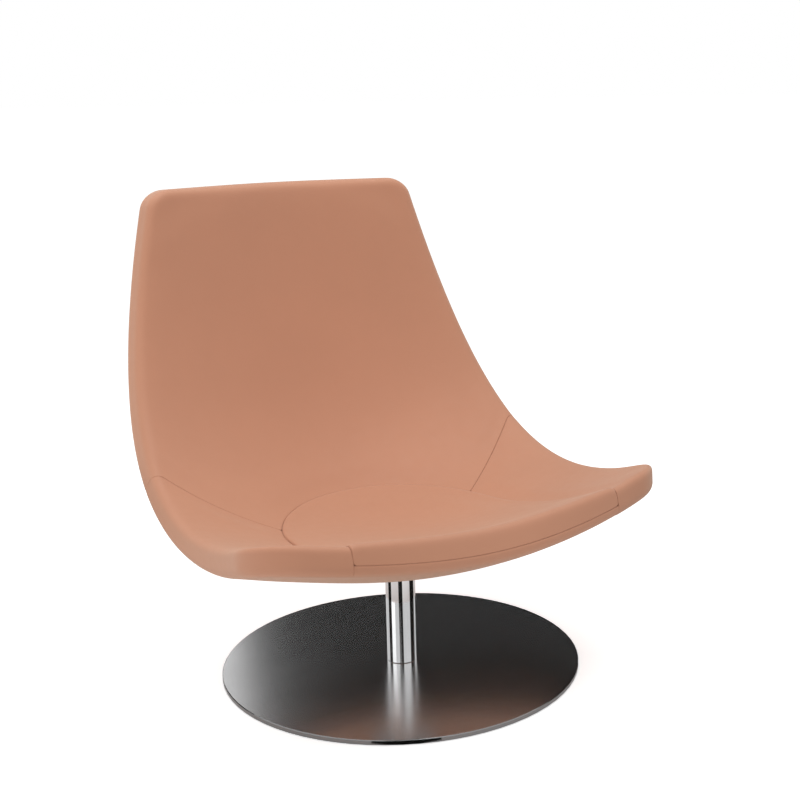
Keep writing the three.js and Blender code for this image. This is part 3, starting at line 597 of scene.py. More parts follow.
def swell(piece, held, reach):
    """Cloth under pressure: the skin swells between its seams, smoothly and by no more than reach.

    held is how firmly each vertex of the skin is held. The inner face is held throughout.
    """
    scene = bpy.context.scene
    held = np.concatenate([held, np.full(len(held), HELD)])
    rest = read_rows(piece.data.vertices, "co", 3).astype(float)
    group = piece.vertex_groups.new(name="held")
    group.add(np.flatnonzero(held >= HELD).tolist(), 1.0, "REPLACE")
    cloth = piece.modifiers.new("Cloth", "CLOTH")
    cloth.settings.quality = 4
    cloth.settings.use_pressure = True
    cloth.settings.uniform_pressure_force = CLOTH_PRESSURE
    cloth.settings.vertex_group_mass = group.name
    cloth.settings.effector_weights.gravity = 0
    cloth.collision_settings.use_collision = False
    cloth.point_cache.frame_start, cloth.point_cache.frame_end = 1, CLOTH_FRAMES
    for step in range(1, CLOTH_FRAMES + 1):
        scene.frame_set(step)
    evaluated = piece.evaluated_get(bpy.context.evaluated_depsgraph_get())
    moved = read_rows(evaluated.to_mesh().vertices, "co", 3).astype(float) - rest
    evaluated.to_mesh_clear()
    piece.modifiers.remove(cloth)
    piece.vertex_groups.remove(group)
    scene.frame_set(1)
    normals = read_rows(piece.data.vertices, "normal", 3).astype(float)
    edges = read_rows(piece.data.edges, "vertices", 2, np.int32)
    count = np.maximum(np.bincount(edges.ravel(), minlength=len(rest)), 1)
    out = np.clip((moved * normals).sum(1), 0, reach) * (held < HELD)
    for _ in range(SMOOTHING_PASSES):
        out = (out + neighbour_mean(out, edges, count)) / 2 * (held < HELD)
    out = out * (1 - held)
    piece.data.vertices.foreach_set("co", (rest + normals * out[:, None]).astype(np.float32).ravel())
    piece.data.update()


def plain_mesh(piece):
    """Plain mesh of a piece with its modifiers."""
    bpy.context.view_layer.update()
    return bpy.data.meshes.new_from_object(piece.evaluated_get(bpy.context.evaluated_depsgraph_get()))


def enter(piece, node):
    """Subdivides a cushion once, gives it the leather, attaches it to the seat's body and hides its solid in
    its place.
    """
    modifier = piece.modifiers.new("Subdivision", "SUBSURF")
    modifier.levels = modifier.render_levels = 1
    piece.data.materials.append(bpy.data.materials["terracotta_leather"])
    mesh = plain_mesh(piece)
    piece.modifiers.clear()
    piece.data = mesh
    mesh.name = piece.name
    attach(piece, "seat")
    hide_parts(node)


def padding(outside):
    """Thickness of the padding: full on the flat, less round the rim."""
    return np.interp(outside, PADDING_AT, PADDING)


def row_distances(gap, rings):
    """Distances of a panel's mesh rows from its seam lines: its edge, then the rings."""
    return [gap] + [gap + d for d in rings]


def painted_seam_shade(near):
    """Share of the painted seam shade at a distance from a seam: darker leather painted in place of the
    shade in the seam's groove.
    """
    return np.exp(-near / PAINTED_SHADE_REACH)


def make_panel(name, seat, sides, groups, seams):
    """The back or a wing: a padded panel that wraps round the rim."""
    sizes = seat.sizes
    panel = Panel(sides, groups, row_distances(sizes.seam_gap, EDGE_RINGS))
    foot = seat.rim.foot(panel.points)
    outside = foot[2]
    near = np.min([path_distance(panel.points, path) for path in seams], axis=0)
    on_rim = smooth_step(outside, 0, RIM_RISE) * (1 - smooth_step(outside, *RIM_END))
    # On the rim the edge closes beside the pad, beside the cover's tab and along the side seams
    from_pad, ahead = np.abs(panel.points[:, 0]) - seat.pad_side[0, 0], panel.points[:, 1]
    beside = (1 - smooth_step(from_pad, *BESIDE_PAD)) * (ahead < 0)
    at_tab = smooth_step(outside, seat.low_end - TAB_RISE, seat.low_end)
    closed = np.maximum(at_tab, on_rim * (1 - FRONT_SEAM_SHARE)) * beside
    closed = np.maximum(closed, on_rim * smooth_step(ahead, *SIDE_SEAM_AT))
    roll = round_drop(panel.rings - sizes.seam_gap, sizes.seam_roll * (1 - CLOSED_SHARE * closed))
    pull = sizes.seam_pull * np.exp(-near / SEAM_PULL_REACH) * (1 - smooth_step(outside, 0, PULL_END))
    skin = seat.rim.place(panel.points, foot, -roll - pull)
    inner = seat.rim.place(panel.points, foot, -padding(outside))
    # The skin carries painted shade beside the side seams and the pad, none on the rim
    piece = closed_mesh(name, panel.faces, panel.border, skin, inner, painted_seam_shade(near) * (1 - on_rim))
    held = np.maximum(1 - smooth_step(near, *FREE_FROM_SEAM), smooth_step(outside, *HELD_AT_RIM))
    swell(piece, held, sizes.swell)
    return piece


def wing_sides(seat, side):
    """Sides of a wing, run round it: lip, rim, side seam, pad."""
    corner = seat.front_corner
    inner = seat.pad_side[0]
    lip = loop_part(seat.wrap, 0, corner)
    paths = [
        np.concatenate([[inner], lip[lip[:, 0] > inner[0] + 1e-4]]),
        loop_part(seat.wrap, corner, seat.rim_index),
        seat.seam[::-1],
        seat.pad_side[:seat.junction + 1][::-1]]
    across = max(seat.count(paths[0]), seat.count(paths[2]))
    along = max(seat.count(paths[1]), seat.count(paths[3]))
    if side < 0:
        paths = [mirrored(paths[k]) for k in (0, 3, 2, 1)]
    gap = seat.sizes.seam_gap
    tight = [None, None, seat.tightness(paths[2]), None]
    counts = (across, along, across, along)
    return [Side(path, count, gap, t) for path, count, t in zip(paths, counts, tight)]


def back_sides(seat):
    """Sides of the back, run round it: left seam, rear of the pad, right seam, rim in three parts."""
    rear = seat.pad_side[seat.junction:]
    right, top = seat.rim_index, seat.top_corner
    paths = [
        mirrored(seat.seam),
        np.concatenate([rear * [-1, 1], rear[::-1][1:]]),
        seat.seam,
        loop_part(seat.wrap, right, top),
        loop_part(seat.wrap, top, seat.mirror_index(top)),
        loop_part(seat.wrap, seat.mirror_index(top), seat.mirror_index(right))]
    counts = [seat.count(path) for path in paths]
    counts[0] = counts[2]
    counts[4] = counts[0] + counts[1] + counts[2]
    counts[5] = counts[3]
    gap = seat.sizes.seam_gap
    tight = [seat.tightness(paths[0]), None, seat.tightness(paths[2]), None, None, None]
    return [Side(path, count, gap, t) for path, count, t in zip(paths, counts, tight)]


def make_pad(seat):
    """The raised pad, which comes down over the lip to the low seam."""
    sizes, rim = seat.sizes, seat.rim
    side = seat.pad_side[seat.low_index:seat.pad_split + 1]
    rear = seat.pad_side[seat.pad_split:]
    low = np.array([side[0] * [-1, 1], side[0]])
    paths = [low, side, np.concatenate([rear, mirrored(rear)[1:]]), mirrored(side)]
    counts = [seat.count(path) for path in paths]
    counts[0] = counts[2] = max(counts[0], counts[2])
    sides = [Side(path, count, sizes.seam_gap) for path, count in zip(paths, counts)]
    panel = Panel(sides, FOUR_SIDES, row_distances(sizes.seam_gap, PAD_RINGS))
    foot = rim.foot(panel.points)
    outside = foot[2]
    full = seat.pad_side[seat.low_index:]
    edge_path = np.concatenate([full, mirrored(full)[1:]])
    beside = path_distance(panel.points, edge_path) - sizes.seam_gap
    from_low = path_distance(panel.points, low) - sizes.seam_gap
    lift = sizes.pad_lift * (1 - round_drop(beside, sizes.pad_edge) / sizes.pad_edge)
    lift = lift + sizes.pad_crown * np.sin(np.clip(beside / PAD_RADIUS, 0, 1) * math.pi / 2)
    lift = lift * (1 - smooth_step(outside, rim.quarter * LIFT_END, seat.low_end))
    front = smooth_step(outside, FRONT_START, rim.quarter)
    front_roll = sizes.seam_roll * FRONT_SEAM_SHARE
    roll = np.maximum(round_drop(from_low, front_roll), round_drop(beside, front_roll) * front)
    skin = rim.place(panel.points, foot, -roll, up=lift)
    inner = rim.place(panel.points, foot, -padding(outside))
    near = np.minimum(beside, from_low)
    # Painted shade beside the pad's edge and the low seam, none on the front of the lip
    shade = painted_seam_shade(near) * (1 - front)
    piece = closed_mesh("seat_cushion", panel.faces, panel.border, skin, inner, shade)
    held = np.maximum(1 - smooth_step(near, *PAD_FREE_FROM_SEAM), smooth_step(outside, *PAD_HELD_AT_RIM))
    swell(piece, held, sizes.swell)
    return piece


def make_cover(seat):
    """The cover of the underside and the outer back, with its tab up to the low seam on the lip."""
    sizes, rim = seat.sizes, seat.rim
    edge = seat.total - seat.wrap_end
    tab = seat.total - seat.low_end
    loop = rim.points + rim.outward * edge
    front, top = seat.front_corner, seat.top_corner
    paths = [
        loop_part(loop, seat.mirror_index(front), front),
        loop_part(loop, front, top),
        loop_part(loop, top, seat.mirror_index(top)),
        loop_part(loop, seat.mirror_index(top), seat.mirror_index(front))]
    counts = [seat.count(path) for path in paths]
    counts[0] = max(counts[0], counts[2]) // 2 * 2
    counts[3] = counts[1]
    gap = sizes.seam_gap
    sides = [Side(path, count, gap) for path, count in zip(paths, counts)]
    half = seat.pad_side[seat.low_index, 0] - gap / 5
    sides[0].shares, tab_columns = tab_shares(sides[0], counts[0], half)
    counts[2] = len(sides[0].shares) - 1
    sides[2] = Side(paths[2], counts[2], gap)
    panel = Panel(sides, FOUR_SIDES, row_distances(gap, EDGE_RINGS))
    attached = panel.border[tab_columns]
    depths = np.array([tab - gap - d for d in TAB_ROWS] + [tab * 0.6, tab * 0.35])
    extra = np.stack(np.meshgrid(panel.points[attached, 0], rim.radius - depths), -1)
    points = np.concatenate([panel.points, extra.reshape(-1, 2)])
    index = np.arange(extra.shape[0] * extra.shape[1]).reshape(extra.shape[:2]) + len(panel.points)
    index = np.concatenate([index, attached[None]])
    faces = np.stack([index[:-1, :-1], index[:-1, 1:], index[1:, 1:], index[1:, :-1]], -1).reshape(-1, 4)
    faces = np.concatenate([panel.faces, faces])
    border = np.concatenate([
        panel.border[:tab_columns[0]], index[::-1, 0], index[0, 1:], index[1:-1, -1],
        panel.border[tab_columns[-1]:]])
    path = tee_outline(loop, half + gap, rim.radius - tab)
    near = path_distance(points, path) - gap
    foot = rim.foot(points)
    # The roll closes along the sides of the tab, below its corners
    across, depth = np.abs(points[:, 0]), rim.radius - points[:, 1]
    at_side = smooth_step(across, half - TAB_SIDE[0], half - TAB_SIDE[1]) * (across < half + gap)
    at_side = at_side * (depth > 0) * smooth_step(tab - depth, *TAB_END)
    roll = round_drop(near, sizes.seam_roll * FRONT_SEAM_SHARE * (1 - CLOSED_SHARE * at_side))
    skin = rim.place(points, foot, -roll, below=True)
    inner = rim.place(points, foot, np.full(len(points), -PADDING[1]), below=True)
    # Painted shade beside the cover's seams, fainter, and none along the tab's sides
    shade = painted_seam_shade(near) * (1 - at_side) * FRONT_SEAM_SHARE
    piece = closed_mesh("under_cover", faces[:, ::-1], border[::-1], skin, inner, shade)
    from_column = np.hypot(skin[:, 0], skin[:, 1])
    free = np.minimum(
        smooth_step(near, *FREE_FROM_SEAM), smooth_step(from_column, *COVER_FREE_FROM_COLUMN))
    held = np.maximum(1 - free, smooth_step(foot[2], *COVER_HELD_AT_RIM))
    swell(piece, held, sizes.swell)
    return piece


def tab_shares(side, count, half):
    """Places of the vertices along the lip, with some at both ends of the tab. Also the tab's columns."""
    x = np.linspace(-half, half, int(count * TAB_WIDTH_SHARE) // 2 * 2 + 1)
    x = x[np.abs(x) < half - TAB_FINE]
    fine = half - np.array(TAB_COLUMNS)
    x = np.concatenate([[-half], -fine, x, fine[::-1], [half]])
    at = np.interp(x, side.points[:, 0], side.s)
    step = side.length / count
    before = np.linspace(0, at[0], max(int(round(at[0] / step)), 2) + 1)[:-1]
    after = side.length - before[::-1]
    s = np.concatenate([before, at, after])
    return s / side.length, np.arange(len(before), len(before) + len(at))


def tee_outline(loop, half, front):
    """Outline of the cover with its tab, as an open path that ends where it starts."""
    right = loop[1:len(loop) // 2]
    base = loop[0, 1]
    right = right[right[:, 0] > half]
    return np.concatenate([
        [[-half, base], [-half, front], [half, front], [half, base]], right,
        right[-1:] * [0, 1], mirrored(right), [[-half, base]]])


# Node trees

def node_group(name, kind, inputs, outputs):
    """Node tree with its sockets, (name, kind, default) in and (name, kind) out, and their two nodes."""
    tree = bpy.data.node_groups.new(name, kind)
    for title, socket_kind, default in inputs:
        socket = tree.interface.new_socket(title, in_out="INPUT", socket_type=socket_kind)
        if default is not None:
            socket.default_value = default
    for title, socket_kind in outputs:
        tree.interface.new_socket(title, in_out="OUTPUT", socket_type=socket_kind)
    return tree, tree.nodes.new("NodeGroupInput"), tree.nodes.new("NodeGroupOutput")


def set_input(tree, socket, value):
    """Gives a socket a number or colour, or the output of another node."""
    if isinstance(value, bpy.types.NodeSocket):
        tree.links.new(value, socket)
    else:
        socket.default_value = value


def set_inputs(tree, node, inputs):
    for name, value in inputs.items():
        set_input(tree, node.inputs[name], value)
    return node


def add_node(tree, kind, inputs):
    """Adds a node. Its inputs are named, and each takes a number, a colour or another node's output."""
    return set_inputs(tree, tree.nodes.new(kind), inputs)


def add_math(tree, operation, *values):
    node = tree.nodes.new("ShaderNodeMath")
    node.operation = operation
    for socket, value in zip(node.inputs, values):
        set_input(tree, socket, value)
    return node.outputs["Value"]


# Seam threads, made by Geometry Nodes along the seam lines

def thread_tree():
    """Node tree: a curve to a round thread, resampled evenly."""
    tree, start, end = node_group(
        "seam_thread", "GeometryNodeTree",
        [("Seam lines", "NodeSocketGeometry", None), ("Radius", "NodeSocketFloat", 0.0003),
         ("Step", "NodeSocketFloat", THREAD_STEP), ("Material", "NodeSocketMaterial", None)],
        [("Thread", "NodeSocketGeometry")])
    given = start.outputs
    even = tree.nodes.new("GeometryNodeResampleCurve")
    even.mode = "LENGTH"
    set_inputs(tree, even, {"Curve": given["Seam lines"], "Length": given["Step"]})
    circle = add_node(tree, "GeometryNodeCurvePrimitiveCircle", {
        "Resolution": THREAD_SIDES, "Radius": given["Radius"]})
    sweep = add_node(tree, "GeometryNodeCurveToMesh", {
        "Curve": even.outputs["Curve"], "Profile Curve": circle.outputs["Curve"], "Fill Caps": True})
    smooth = add_node(tree, "GeometryNodeSetShadeSmooth", {"Geometry": sweep.outputs["Mesh"]})
    real = add_node(tree, "GeometryNodeRealizeInstances", {"Geometry": smooth.outputs["Geometry"]})
    painted = add_node(tree, "GeometryNodeSetMaterial", {
        "Geometry": real.outputs["Geometry"], "Material": given["Material"]})
    tree.links.new(painted.outputs["Geometry"], end.inputs["Thread"])
    return tree


def seam_lines(seat, depth):
    """Every visible seam in the room, at a depth under the leather, less deep on the rim."""
    rim = seat.rim
    pad = seat.pad_side[seat.low_index:]
    around_pad = np.concatenate([pad, mirrored(pad)[1:]])
    low = resample(np.array([pad[0] * [-1, 1], pad[0]]), 0.004)
    # The side seam's thread starts a few points away from the pad's and ends at the rim
    seam = seat.seam[6:][rim.foot(seat.seam[6:])[2] < 0]
    # The seam between the cover and the panels runs round the underside, except along the tab
    right = seat.wrap[1:len(seat.wrap) // 2 + 1]
    right = right[(right[:, 0] > seat.pad_side[0, 0]) | (right[:, 1] > SURFACE_LENGTH)]
    lines = [around_pad, low, seam, mirrored(seam), np.concatenate([right, mirrored(right)[1:]])]
    placed = []
    for line in lines:
        line = resample(line, 0.002)
        foot = rim.foot(line)
        share = 1 - (1 - FRONT_SEAM_SHARE) * smooth_step(foot[2], 0, RIM_RISE)
        placed.append(rim.place(line, foot, -depth * share))
    return placed


def make_threads(seat, material):
    """The threads at the bottom of the seams, as one plain mesh."""
    curve = bpy.data.curves.new("seam_thread", "CURVE")
    curve.dimensions = "3D"
    for line in seam_lines(seat, seat.sizes.seam_roll):
        spline = curve.splines.new("POLY")
        spline.points.add(len(line) - 1)
        spline.points.foreach_set("co", np.column_stack([line, np.ones(len(line))]).ravel())
    lines = add_object("seam_thread", curve)
    modifier = lines.modifiers.new("Thread", "NODES")
    modifier.node_group = thread_tree()
    values = {"Radius": seat.sizes.thread, "Step": THREAD_STEP, "Material": material}
    for item in modifier.node_group.interface.items_tree:
        if item.in_out == "INPUT" and item.name in values:
            modifier[item.identifier] = values[item.name]
    mesh = plain_mesh(lines)
    bpy.data.objects.remove(lines)
    thread = add_object("seam_thread", mesh)
    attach(thread, "seat")


# Materials

def new_material(name):
    material = bpy.data.materials.new(name)
    material.use_nodes = True
    tree = material.node_tree
    return material, tree, tree.nodes["Principled BSDF"]


def rgba(colour):
    return (*colour, 1.0)


def patches_group():
    """Soft irregular patches, for small shifts of colour and gloss."""
    tree, start, end = node_group(
        "patches", "ShaderNodeTree",
        [("Scale", "NodeSocketFloat", 6.0), ("Stretch", "NodeSocketVector", (1, 1, 1))],
        [("Value", "NodeSocketFloat")])
    where = tree.nodes.new("ShaderNodeTexCoord")
    stretched = tree.nodes.new("ShaderNodeVectorMath")
    stretched.operation = "MULTIPLY"
    set_input(tree, stretched.inputs[0], where.outputs["Object"])
    set_input(tree, stretched.inputs[1], start.outputs["Stretch"])
    noise = add_node(tree, "ShaderNodeTexNoise", {
        "Vector": stretched.outputs["Vector"], "Scale": start.outputs["Scale"],
        "Detail": 4, "Roughness": 0.55})
    tree.links.new(noise.outputs["Fac"], end.inputs["Value"])
    return tree


def grain_group():
    """Leather grain: small rounded cells with finer creases between them."""
    tree, start, end = node_group(
        "leather_grain", "ShaderNodeTree",
        [("Cell size", "NodeSocketFloat", 0.0012)], [("Height", "NodeSocketFloat")])
    where = tree.nodes.new("ShaderNodeTexCoord").outputs["Object"]
    scale = add_math(tree, "DIVIDE", 1.0, start.outputs["Cell size"])
    cells = tree.nodes.new("ShaderNodeTexVoronoi")
    cells.feature = "SMOOTH_F1"
    set_inputs(tree, cells, {"Vector": where, "Scale": scale, "Smoothness": 0.6})
    creases = add_node(tree, "ShaderNodeTexNoise", {"Vector": where, "Scale": scale, "Detail": 3})
    height = add_math(tree, "MULTIPLY_ADD", cells.outputs["Distance"], 0.6, creases.outputs["Fac"])
    tree.links.new(height, end.inputs["Height"])
    return tree


GROUPS = {"patches": patches_group, "leather_grain": grain_group}
PATCH_RANGE = (0.3, 0.7)


def use_group(tree, name, inputs):
    """Places one of the groups above, which is built on first use."""
    node = tree.nodes.new("ShaderNodeGroup")
    node.node_tree = bpy.data.node_groups.get(name) or GROUPS[name]()
    return set_inputs(tree, node, inputs)


def patches(tree, scale, stretch=(1, 1, 1)):
    """Value of the patches at a scale, stretched in X, Y and Z."""
    return use_group(tree, "patches", {"Scale": scale, "Stretch": stretch}).outputs["Value"]


def ranged(tree, value, low, high, start=0.0, end=1.0):
    """A value from one range to another."""
    return add_node(tree, "ShaderNodeMapRange", {
        "Value": value, "From Min": start, "From Max": end, "To Min": low, "To Max": high}).outputs["Result"]


def from_patches(tree, value, low=0, high=1):
    """Stretches the values that the patches mostly have to another range."""
    return ranged(tree, value, low, high, *PATCH_RANGE)


def mixed_colour(tree, share, first, second):
    """Mix of two colours or colour outputs."""
    node = tree.nodes.new("ShaderNodeMix")
    node.data_type = "RGBA"
    set_input(tree, node.inputs["Factor"], share)
    for name, value in (("A", first), ("B", second)):
        set_input(tree, next(s for s in node.inputs if s.name == name and s.type == "RGBA"), value)
    return next(s for s in node.outputs if s.type == "RGBA")


def toned(colour, factor):
    """A colour made lighter or darker."""
    return tuple(min(c * factor, 1) for c in colour)


def bump(tree, shader, height, strength, distance):
    node = add_node(tree, "ShaderNodeBump", {"Height": height, "Strength": strength, "Distance": distance})
    tree.links.new(node.outputs["Normal"], shader.inputs["Normal"])


def leather_material(colours):
    """Leather with painted shade beside its seams, and with its grain."""
    _, tree, shader = new_material("terracotta_leather")
    link = tree.links.new
    tone = mixed_colour(
        tree, from_patches(tree, patches(tree, 5.0)),
        rgba(toned(colours.leather, 0.975)), rgba(toned(colours.leather, 1.02)))
    # Painted shade: the seam attribute mixes the darker seam colour into the leather beside the seams
    seam = tree.nodes.new("ShaderNodeAttribute")
    seam.attribute_name = "seam"
    painted_shade_share = ranged(tree, seam.outputs["Fac"], 0, 0.55, 0.15, 1.0)
    link(mixed_colour(tree, painted_shade_share, tone, rgba(colours.leather_painted_shade)), shader.inputs["Base Color"])
    link(from_patches(tree, patches(tree, 60.0), 0.50, 0.62), shader.inputs["Roughness"])
    shader.inputs["Specular IOR Level"].default_value = 0.35
    shader.inputs["Sheen Weight"].default_value = 0.35
    shader.inputs["Sheen Roughness"].default_value = 0.5
    shader.inputs["Sheen Tint"].default_value = (1.0, 0.95, 0.80, 1.0)
    grain = use_group(tree, "leather_grain", {"Cell size": 0.0011})
    bump(tree, shader, grain.outputs["Height"], 0.18, 0.0003)


def thread_material(colours):
    """Thread in the leather's own colour, a little darker."""
    material, tree, shader = new_material("seam_thread")
    share = from_patches(tree, patches(tree, 900.0))
    dark, light = rgba(toned(colours.leather, 0.8)), rgba(toned(colours.leather, 0.95))
    tree.links.new(mixed_colour(tree, share, dark, light), shader.inputs["Base Color"])
    tree.links.new(ranged(tree, share, 0.6, 0.8), shader.inputs["Roughness"])
    return material


def metal_material(name, colour, roughness, scale, strength, stretch=(1, 1, 1), spread=0.06):
    """Metal with a grain: its scale, the strength of its bump, and how it is stretched in X, Y and Z."""
    material, tree, shader = new_material(name)
    shader.inputs["Metallic"].default_value = 1.0
    grain = patches(tree, scale, stretch)
    share = from_patches(tree, patches(tree, 9.0))
    tree.links.new(
        mixed_colour(tree, share, rgba(toned(colour, 0.94)), rgba(colour)), shader.inputs["Base Color"])
    low, high = roughness * (1 - spread), roughness * (1 + spread)
    tree.links.new(from_patches(tree, grain, low, high), shader.inputs["Roughness"])
    bump(tree, shader, grain, strength, 0.00005)
    return material


def paint_edge_shade(material, share):
    """Painted shade: darkens what doesn't face up, the turned and chamfered edge of the plate, as a painted
    reflection of the shaded floor beside it.
    """
    tree = material.node_tree
    shader = tree.nodes["Principled BSDF"]
    plain = shader.inputs["Base Color"].links[0].from_socket
    where = tree.nodes.new("ShaderNodeNewGeometry")
    split = add_node(tree, "ShaderNodeSeparateXYZ", {"Vector": where.outputs["True Normal"]})
    top = ranged(tree, split.outputs["Z"], 0, 1, 0.72, 0.95)
    darker = mixed_colour(tree, 1 - share, plain, rgba((0, 0, 0)))
    tree.links.new(mixed_colour(tree, top, darker, plain), shader.inputs["Base Color"])


def plastic_material(name, colour, roughness, scale, strength):
    """Plastic with a fine grain: its scale and the strength of its bump."""
    material, tree, shader = new_material(name)
    texture = patches(tree, scale)
    share = from_patches(tree, texture)
    light = rgba(toned(colour, 1.15))
    tree.links.new(mixed_colour(tree, share, rgba(colour), light), shader.inputs["Base Color"])
    tree.links.new(ranged(tree, share, roughness - 0.06, roughness + 0.06), shader.inputs["Roughness"])
    bump(tree, shader, texture, strength, 0.0001)
    return material


def dress(nodes, material):
    """Gives CAD nodes a material."""
    for name in nodes:
        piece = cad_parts[name]
        piece.data.materials.clear()
        piece.data.materials.append(material)


# Stage

FOCAL_PIXELS = 1378.2
IMAGE_PIXELS = 800
PRINCIPAL_X = 520  # pixels from the left edge, on the level of the image's centre
SENSOR_WIDTH = 36  # millimetres
CAMERA_PITCH = math.radians(13.41)
CAMERA_ROLL = math.radians(0.32)
CHAIR_YAW = math.radians(34.7)
CAMERA_PLACE = Vector((0.203, -2.182, 0.979))  # with the camera looking along +Y

FLOOR_REACH = 40
GLOW_TO_CAMERA = 0.6  # light that the floor adds for the camera alone
GLOW_TO_METAL = 0.15  # light that it adds for what metal mirrors
WORLD_LEVEL = 0.53
PLATE_EDGE = 0.302
CARD_LIFT = 0.0005  # of a card over the floor

LAMPS = {  # place, point that it faces, side, power in watts
    "top_lamp": ((-0.2, 0.0, 2.7), (-0.1, 0.1, 0.4), 2.4, 33),
    "left_lamp": ((-2.3, 0.1, 0.45), (0, 0.1, 0.4), 1.4, 6.5),
}
CARDS = {  # azimuth in degrees, distance, width, heights of the lower and the upper edge
    "card_left": (-86, 0.46, 0.21, 0, 0.35),
    "card_front": (6, 0.46, 0.17, 0, 0.35),
    "card_right": (98, 0.46, 0.31, 0, 0.35),
    "card_back": (171.9, 4.0, 3.56, 0.55, 3.5),
}


def make_camera():
    """Camera at the photograph's angle. It goes round the chair, which keeps its place."""
    data = bpy.data.cameras.new("camera")
    camera = add_object("camera", data)
    data.sensor_width = SENSOR_WIDTH
    data.lens = FOCAL_PIXELS / IMAGE_PIXELS * SENSOR_WIDTH
    data.shift_x = (IMAGE_PIXELS / 2 - PRINCIPAL_X) / IMAGE_PIXELS
    tilt, roll = CAMERA_PITCH, CAMERA_ROLL
    forward = Vector((0, math.cos(tilt), -math.sin(tilt)))
    right = Vector((1, 0, 0))
    down = Vector((0, -math.sin(tilt), -math.cos(tilt)))
    x = right * math.cos(roll) + down * math.sin(roll)
    y = right * math.sin(roll) - down * math.cos(roll)
    turn = Matrix((x, y, -forward)).transposed().to_4x4()
    back = Matrix.Rotation(-CHAIR_YAW, 4, "Z")
    camera.matrix_world = back @ Matrix.Translation(CAMERA_PLACE) @ turn
    bpy.context.scene.camera = camera


def make_lamp(name, place, aim, side, power):
    """Square lamp that faces a point."""
    data = bpy.data.lights.new(name, "AREA")
    data.size, data.energy = side, power
    lamp = add_object(name, data)
    lamp.location = place
    lamp.rotation_euler = (Vector(aim) - Vector(place)).to_track_quat("-Z", "Y").to_euler()


def stage_plane(name, corners, material):
    mesh = bpy.data.meshes.new(name)
    mesh.from_pydata(corners, [], [(0, 1, 2, 3)])
    mesh.materials.append(material)
    plane = add_object(name, mesh)
    return plane


def make_card(name, azimuth, distance, width, low, high, material):
    """Black card that only metal mirrors. Azimuth is from the way to the camera, to the image's right.

    A card that stands on the floor also runs along it, up to the edge of the plate.
    That run is painted shade: a dark sheet in place of the floor's shadow beside the plate, which the
    plate's edge mirrors.
    """
    angle = math.radians(azimuth)
    out = Vector((math.sin(angle), -math.cos(angle), 0))
    along = Vector((math.cos(angle), math.sin(angle), 0)) * (width / 2)
    back = Matrix.Rotation(-CHAIR_YAW, 3, "Z")
    rows = [(distance, low), (distance, high)]
    # The run along the floor is painted shade, seen only in the metal
    if low == 0:
        rows.insert(0, (PLATE_EDGE, low))
    for k in range(len(rows) - 1):
        (near, bottom), (far, top) = rows[k:k + 2]
        corners = []
        for reach, side, height in ((near, -1, bottom), (near, 1, bottom), (far, 1, top), (far, -1, top)):
            spot = out * reach + along * side * reach / distance
            corners.append(back @ (spot + Vector((0, 0, height + CARD_LIFT))))
        card = stage_plane(f"{name}_{k + 1}", corners, material)
        card.visible_camera = card.visible_diffuse = card.visible_shadow = False
        card.visible_transmission = card.visible_volume_scatter = False


def floor_material(colours):
    """Pale floor: it keeps the shadow. The camera sees it white, and the metal nearly so."""
    material, tree, shader = new_material("pale_floor")
    shader.inputs["Base Color"].default_value = rgba(colours.floor)
    shader.inputs["Roughness"].default_value = 0.9
    shader.inputs["Specular IOR Level"].default_value = 0.0
    shader.inputs["Emission Color"].default_value = (1, 1, 1, 1)
    rays = tree.nodes.new("ShaderNodeLightPath").outputs
    to_camera = ranged(tree, rays["Is Camera Ray"], 0, GLOW_TO_CAMERA)
    to_metal = ranged(tree, rays["Is Glossy Ray"], 0, GLOW_TO_METAL)
    tree.links.new(add_math(tree, "ADD", to_camera, to_metal), shader.inputs["Emission Strength"])
    return material


def make_world():
    """White to the camera, in metal and in glass. It lights the rest at a plain level."""
    world = bpy.data.worlds.new("studio")
    bpy.context.scene.world = world
    world.use_nodes = True
    tree = world.node_tree
    background = tree.nodes["Background"]
    background.inputs["Color"].default_value = (1, 1, 1, 1)
    rays = tree.nodes.new("ShaderNodeLightPath").outputs
    seen = add_math(tree, "MAXIMUM", rays["Is Camera Ray"], rays["Is Glossy Ray"])
    seen = add_math(tree, "MAXIMUM", seen, rays["Is Transmission Ray"])
    tree.links.new(ranged(tree, seen, WORLD_LEVEL, 1.0), background.inputs["Strength"])


# Layout of the seams

def seat_layout(context):
    """The shared layout of the seat, with its leather made on first use."""
    if "terracotta_leather" not in bpy.data.materials:
        leather_material(context.scene.armchair_colours)
    return Seat(context.scene.armchair_sizes)


def drawn_seams(seat):
    """The seams that draw in the back and the wings."""
    pad = np.concatenate([seat.pad_side, mirrored(seat.pad_side)[1:]])
    return [resample(path, 0.003) for path in (seat.seam, mirrored(seat.seam), pad)]


# Operators

class ARMCHAIR_OT_stage(bpy.types.Operator):
    """Sets up the camera, the floor, the lamps and the cards that the metal mirrors"""
    bl_idname = "armchair.stage"
    bl_label = "Studio stage"

    def execute(self, context):
        context.scene.view_settings.view_transform = "Standard"
        make_camera()
        corners = [(x * FLOOR_REACH, y * FLOOR_REACH, 0) for x, y in ((-1, -1), (1, -1), (1, 1), (-1, 1))]
        stage_plane("floor", corners, floor_material(context.scene.armchair_colours))
        make_world()
        for name, values in LAMPS.items():
            make_lamp(name, *values)
        black = plastic_material("black_card", (0.02, 0.02, 0.02), roughness=0.9, scale=30, strength=0)
        black.node_tree.nodes["Principled BSDF"].inputs["Specular IOR Level"].default_value = 0
        for name, values in CARDS.items():
            make_card(name, *values, black)
        return {"FINISHED"}


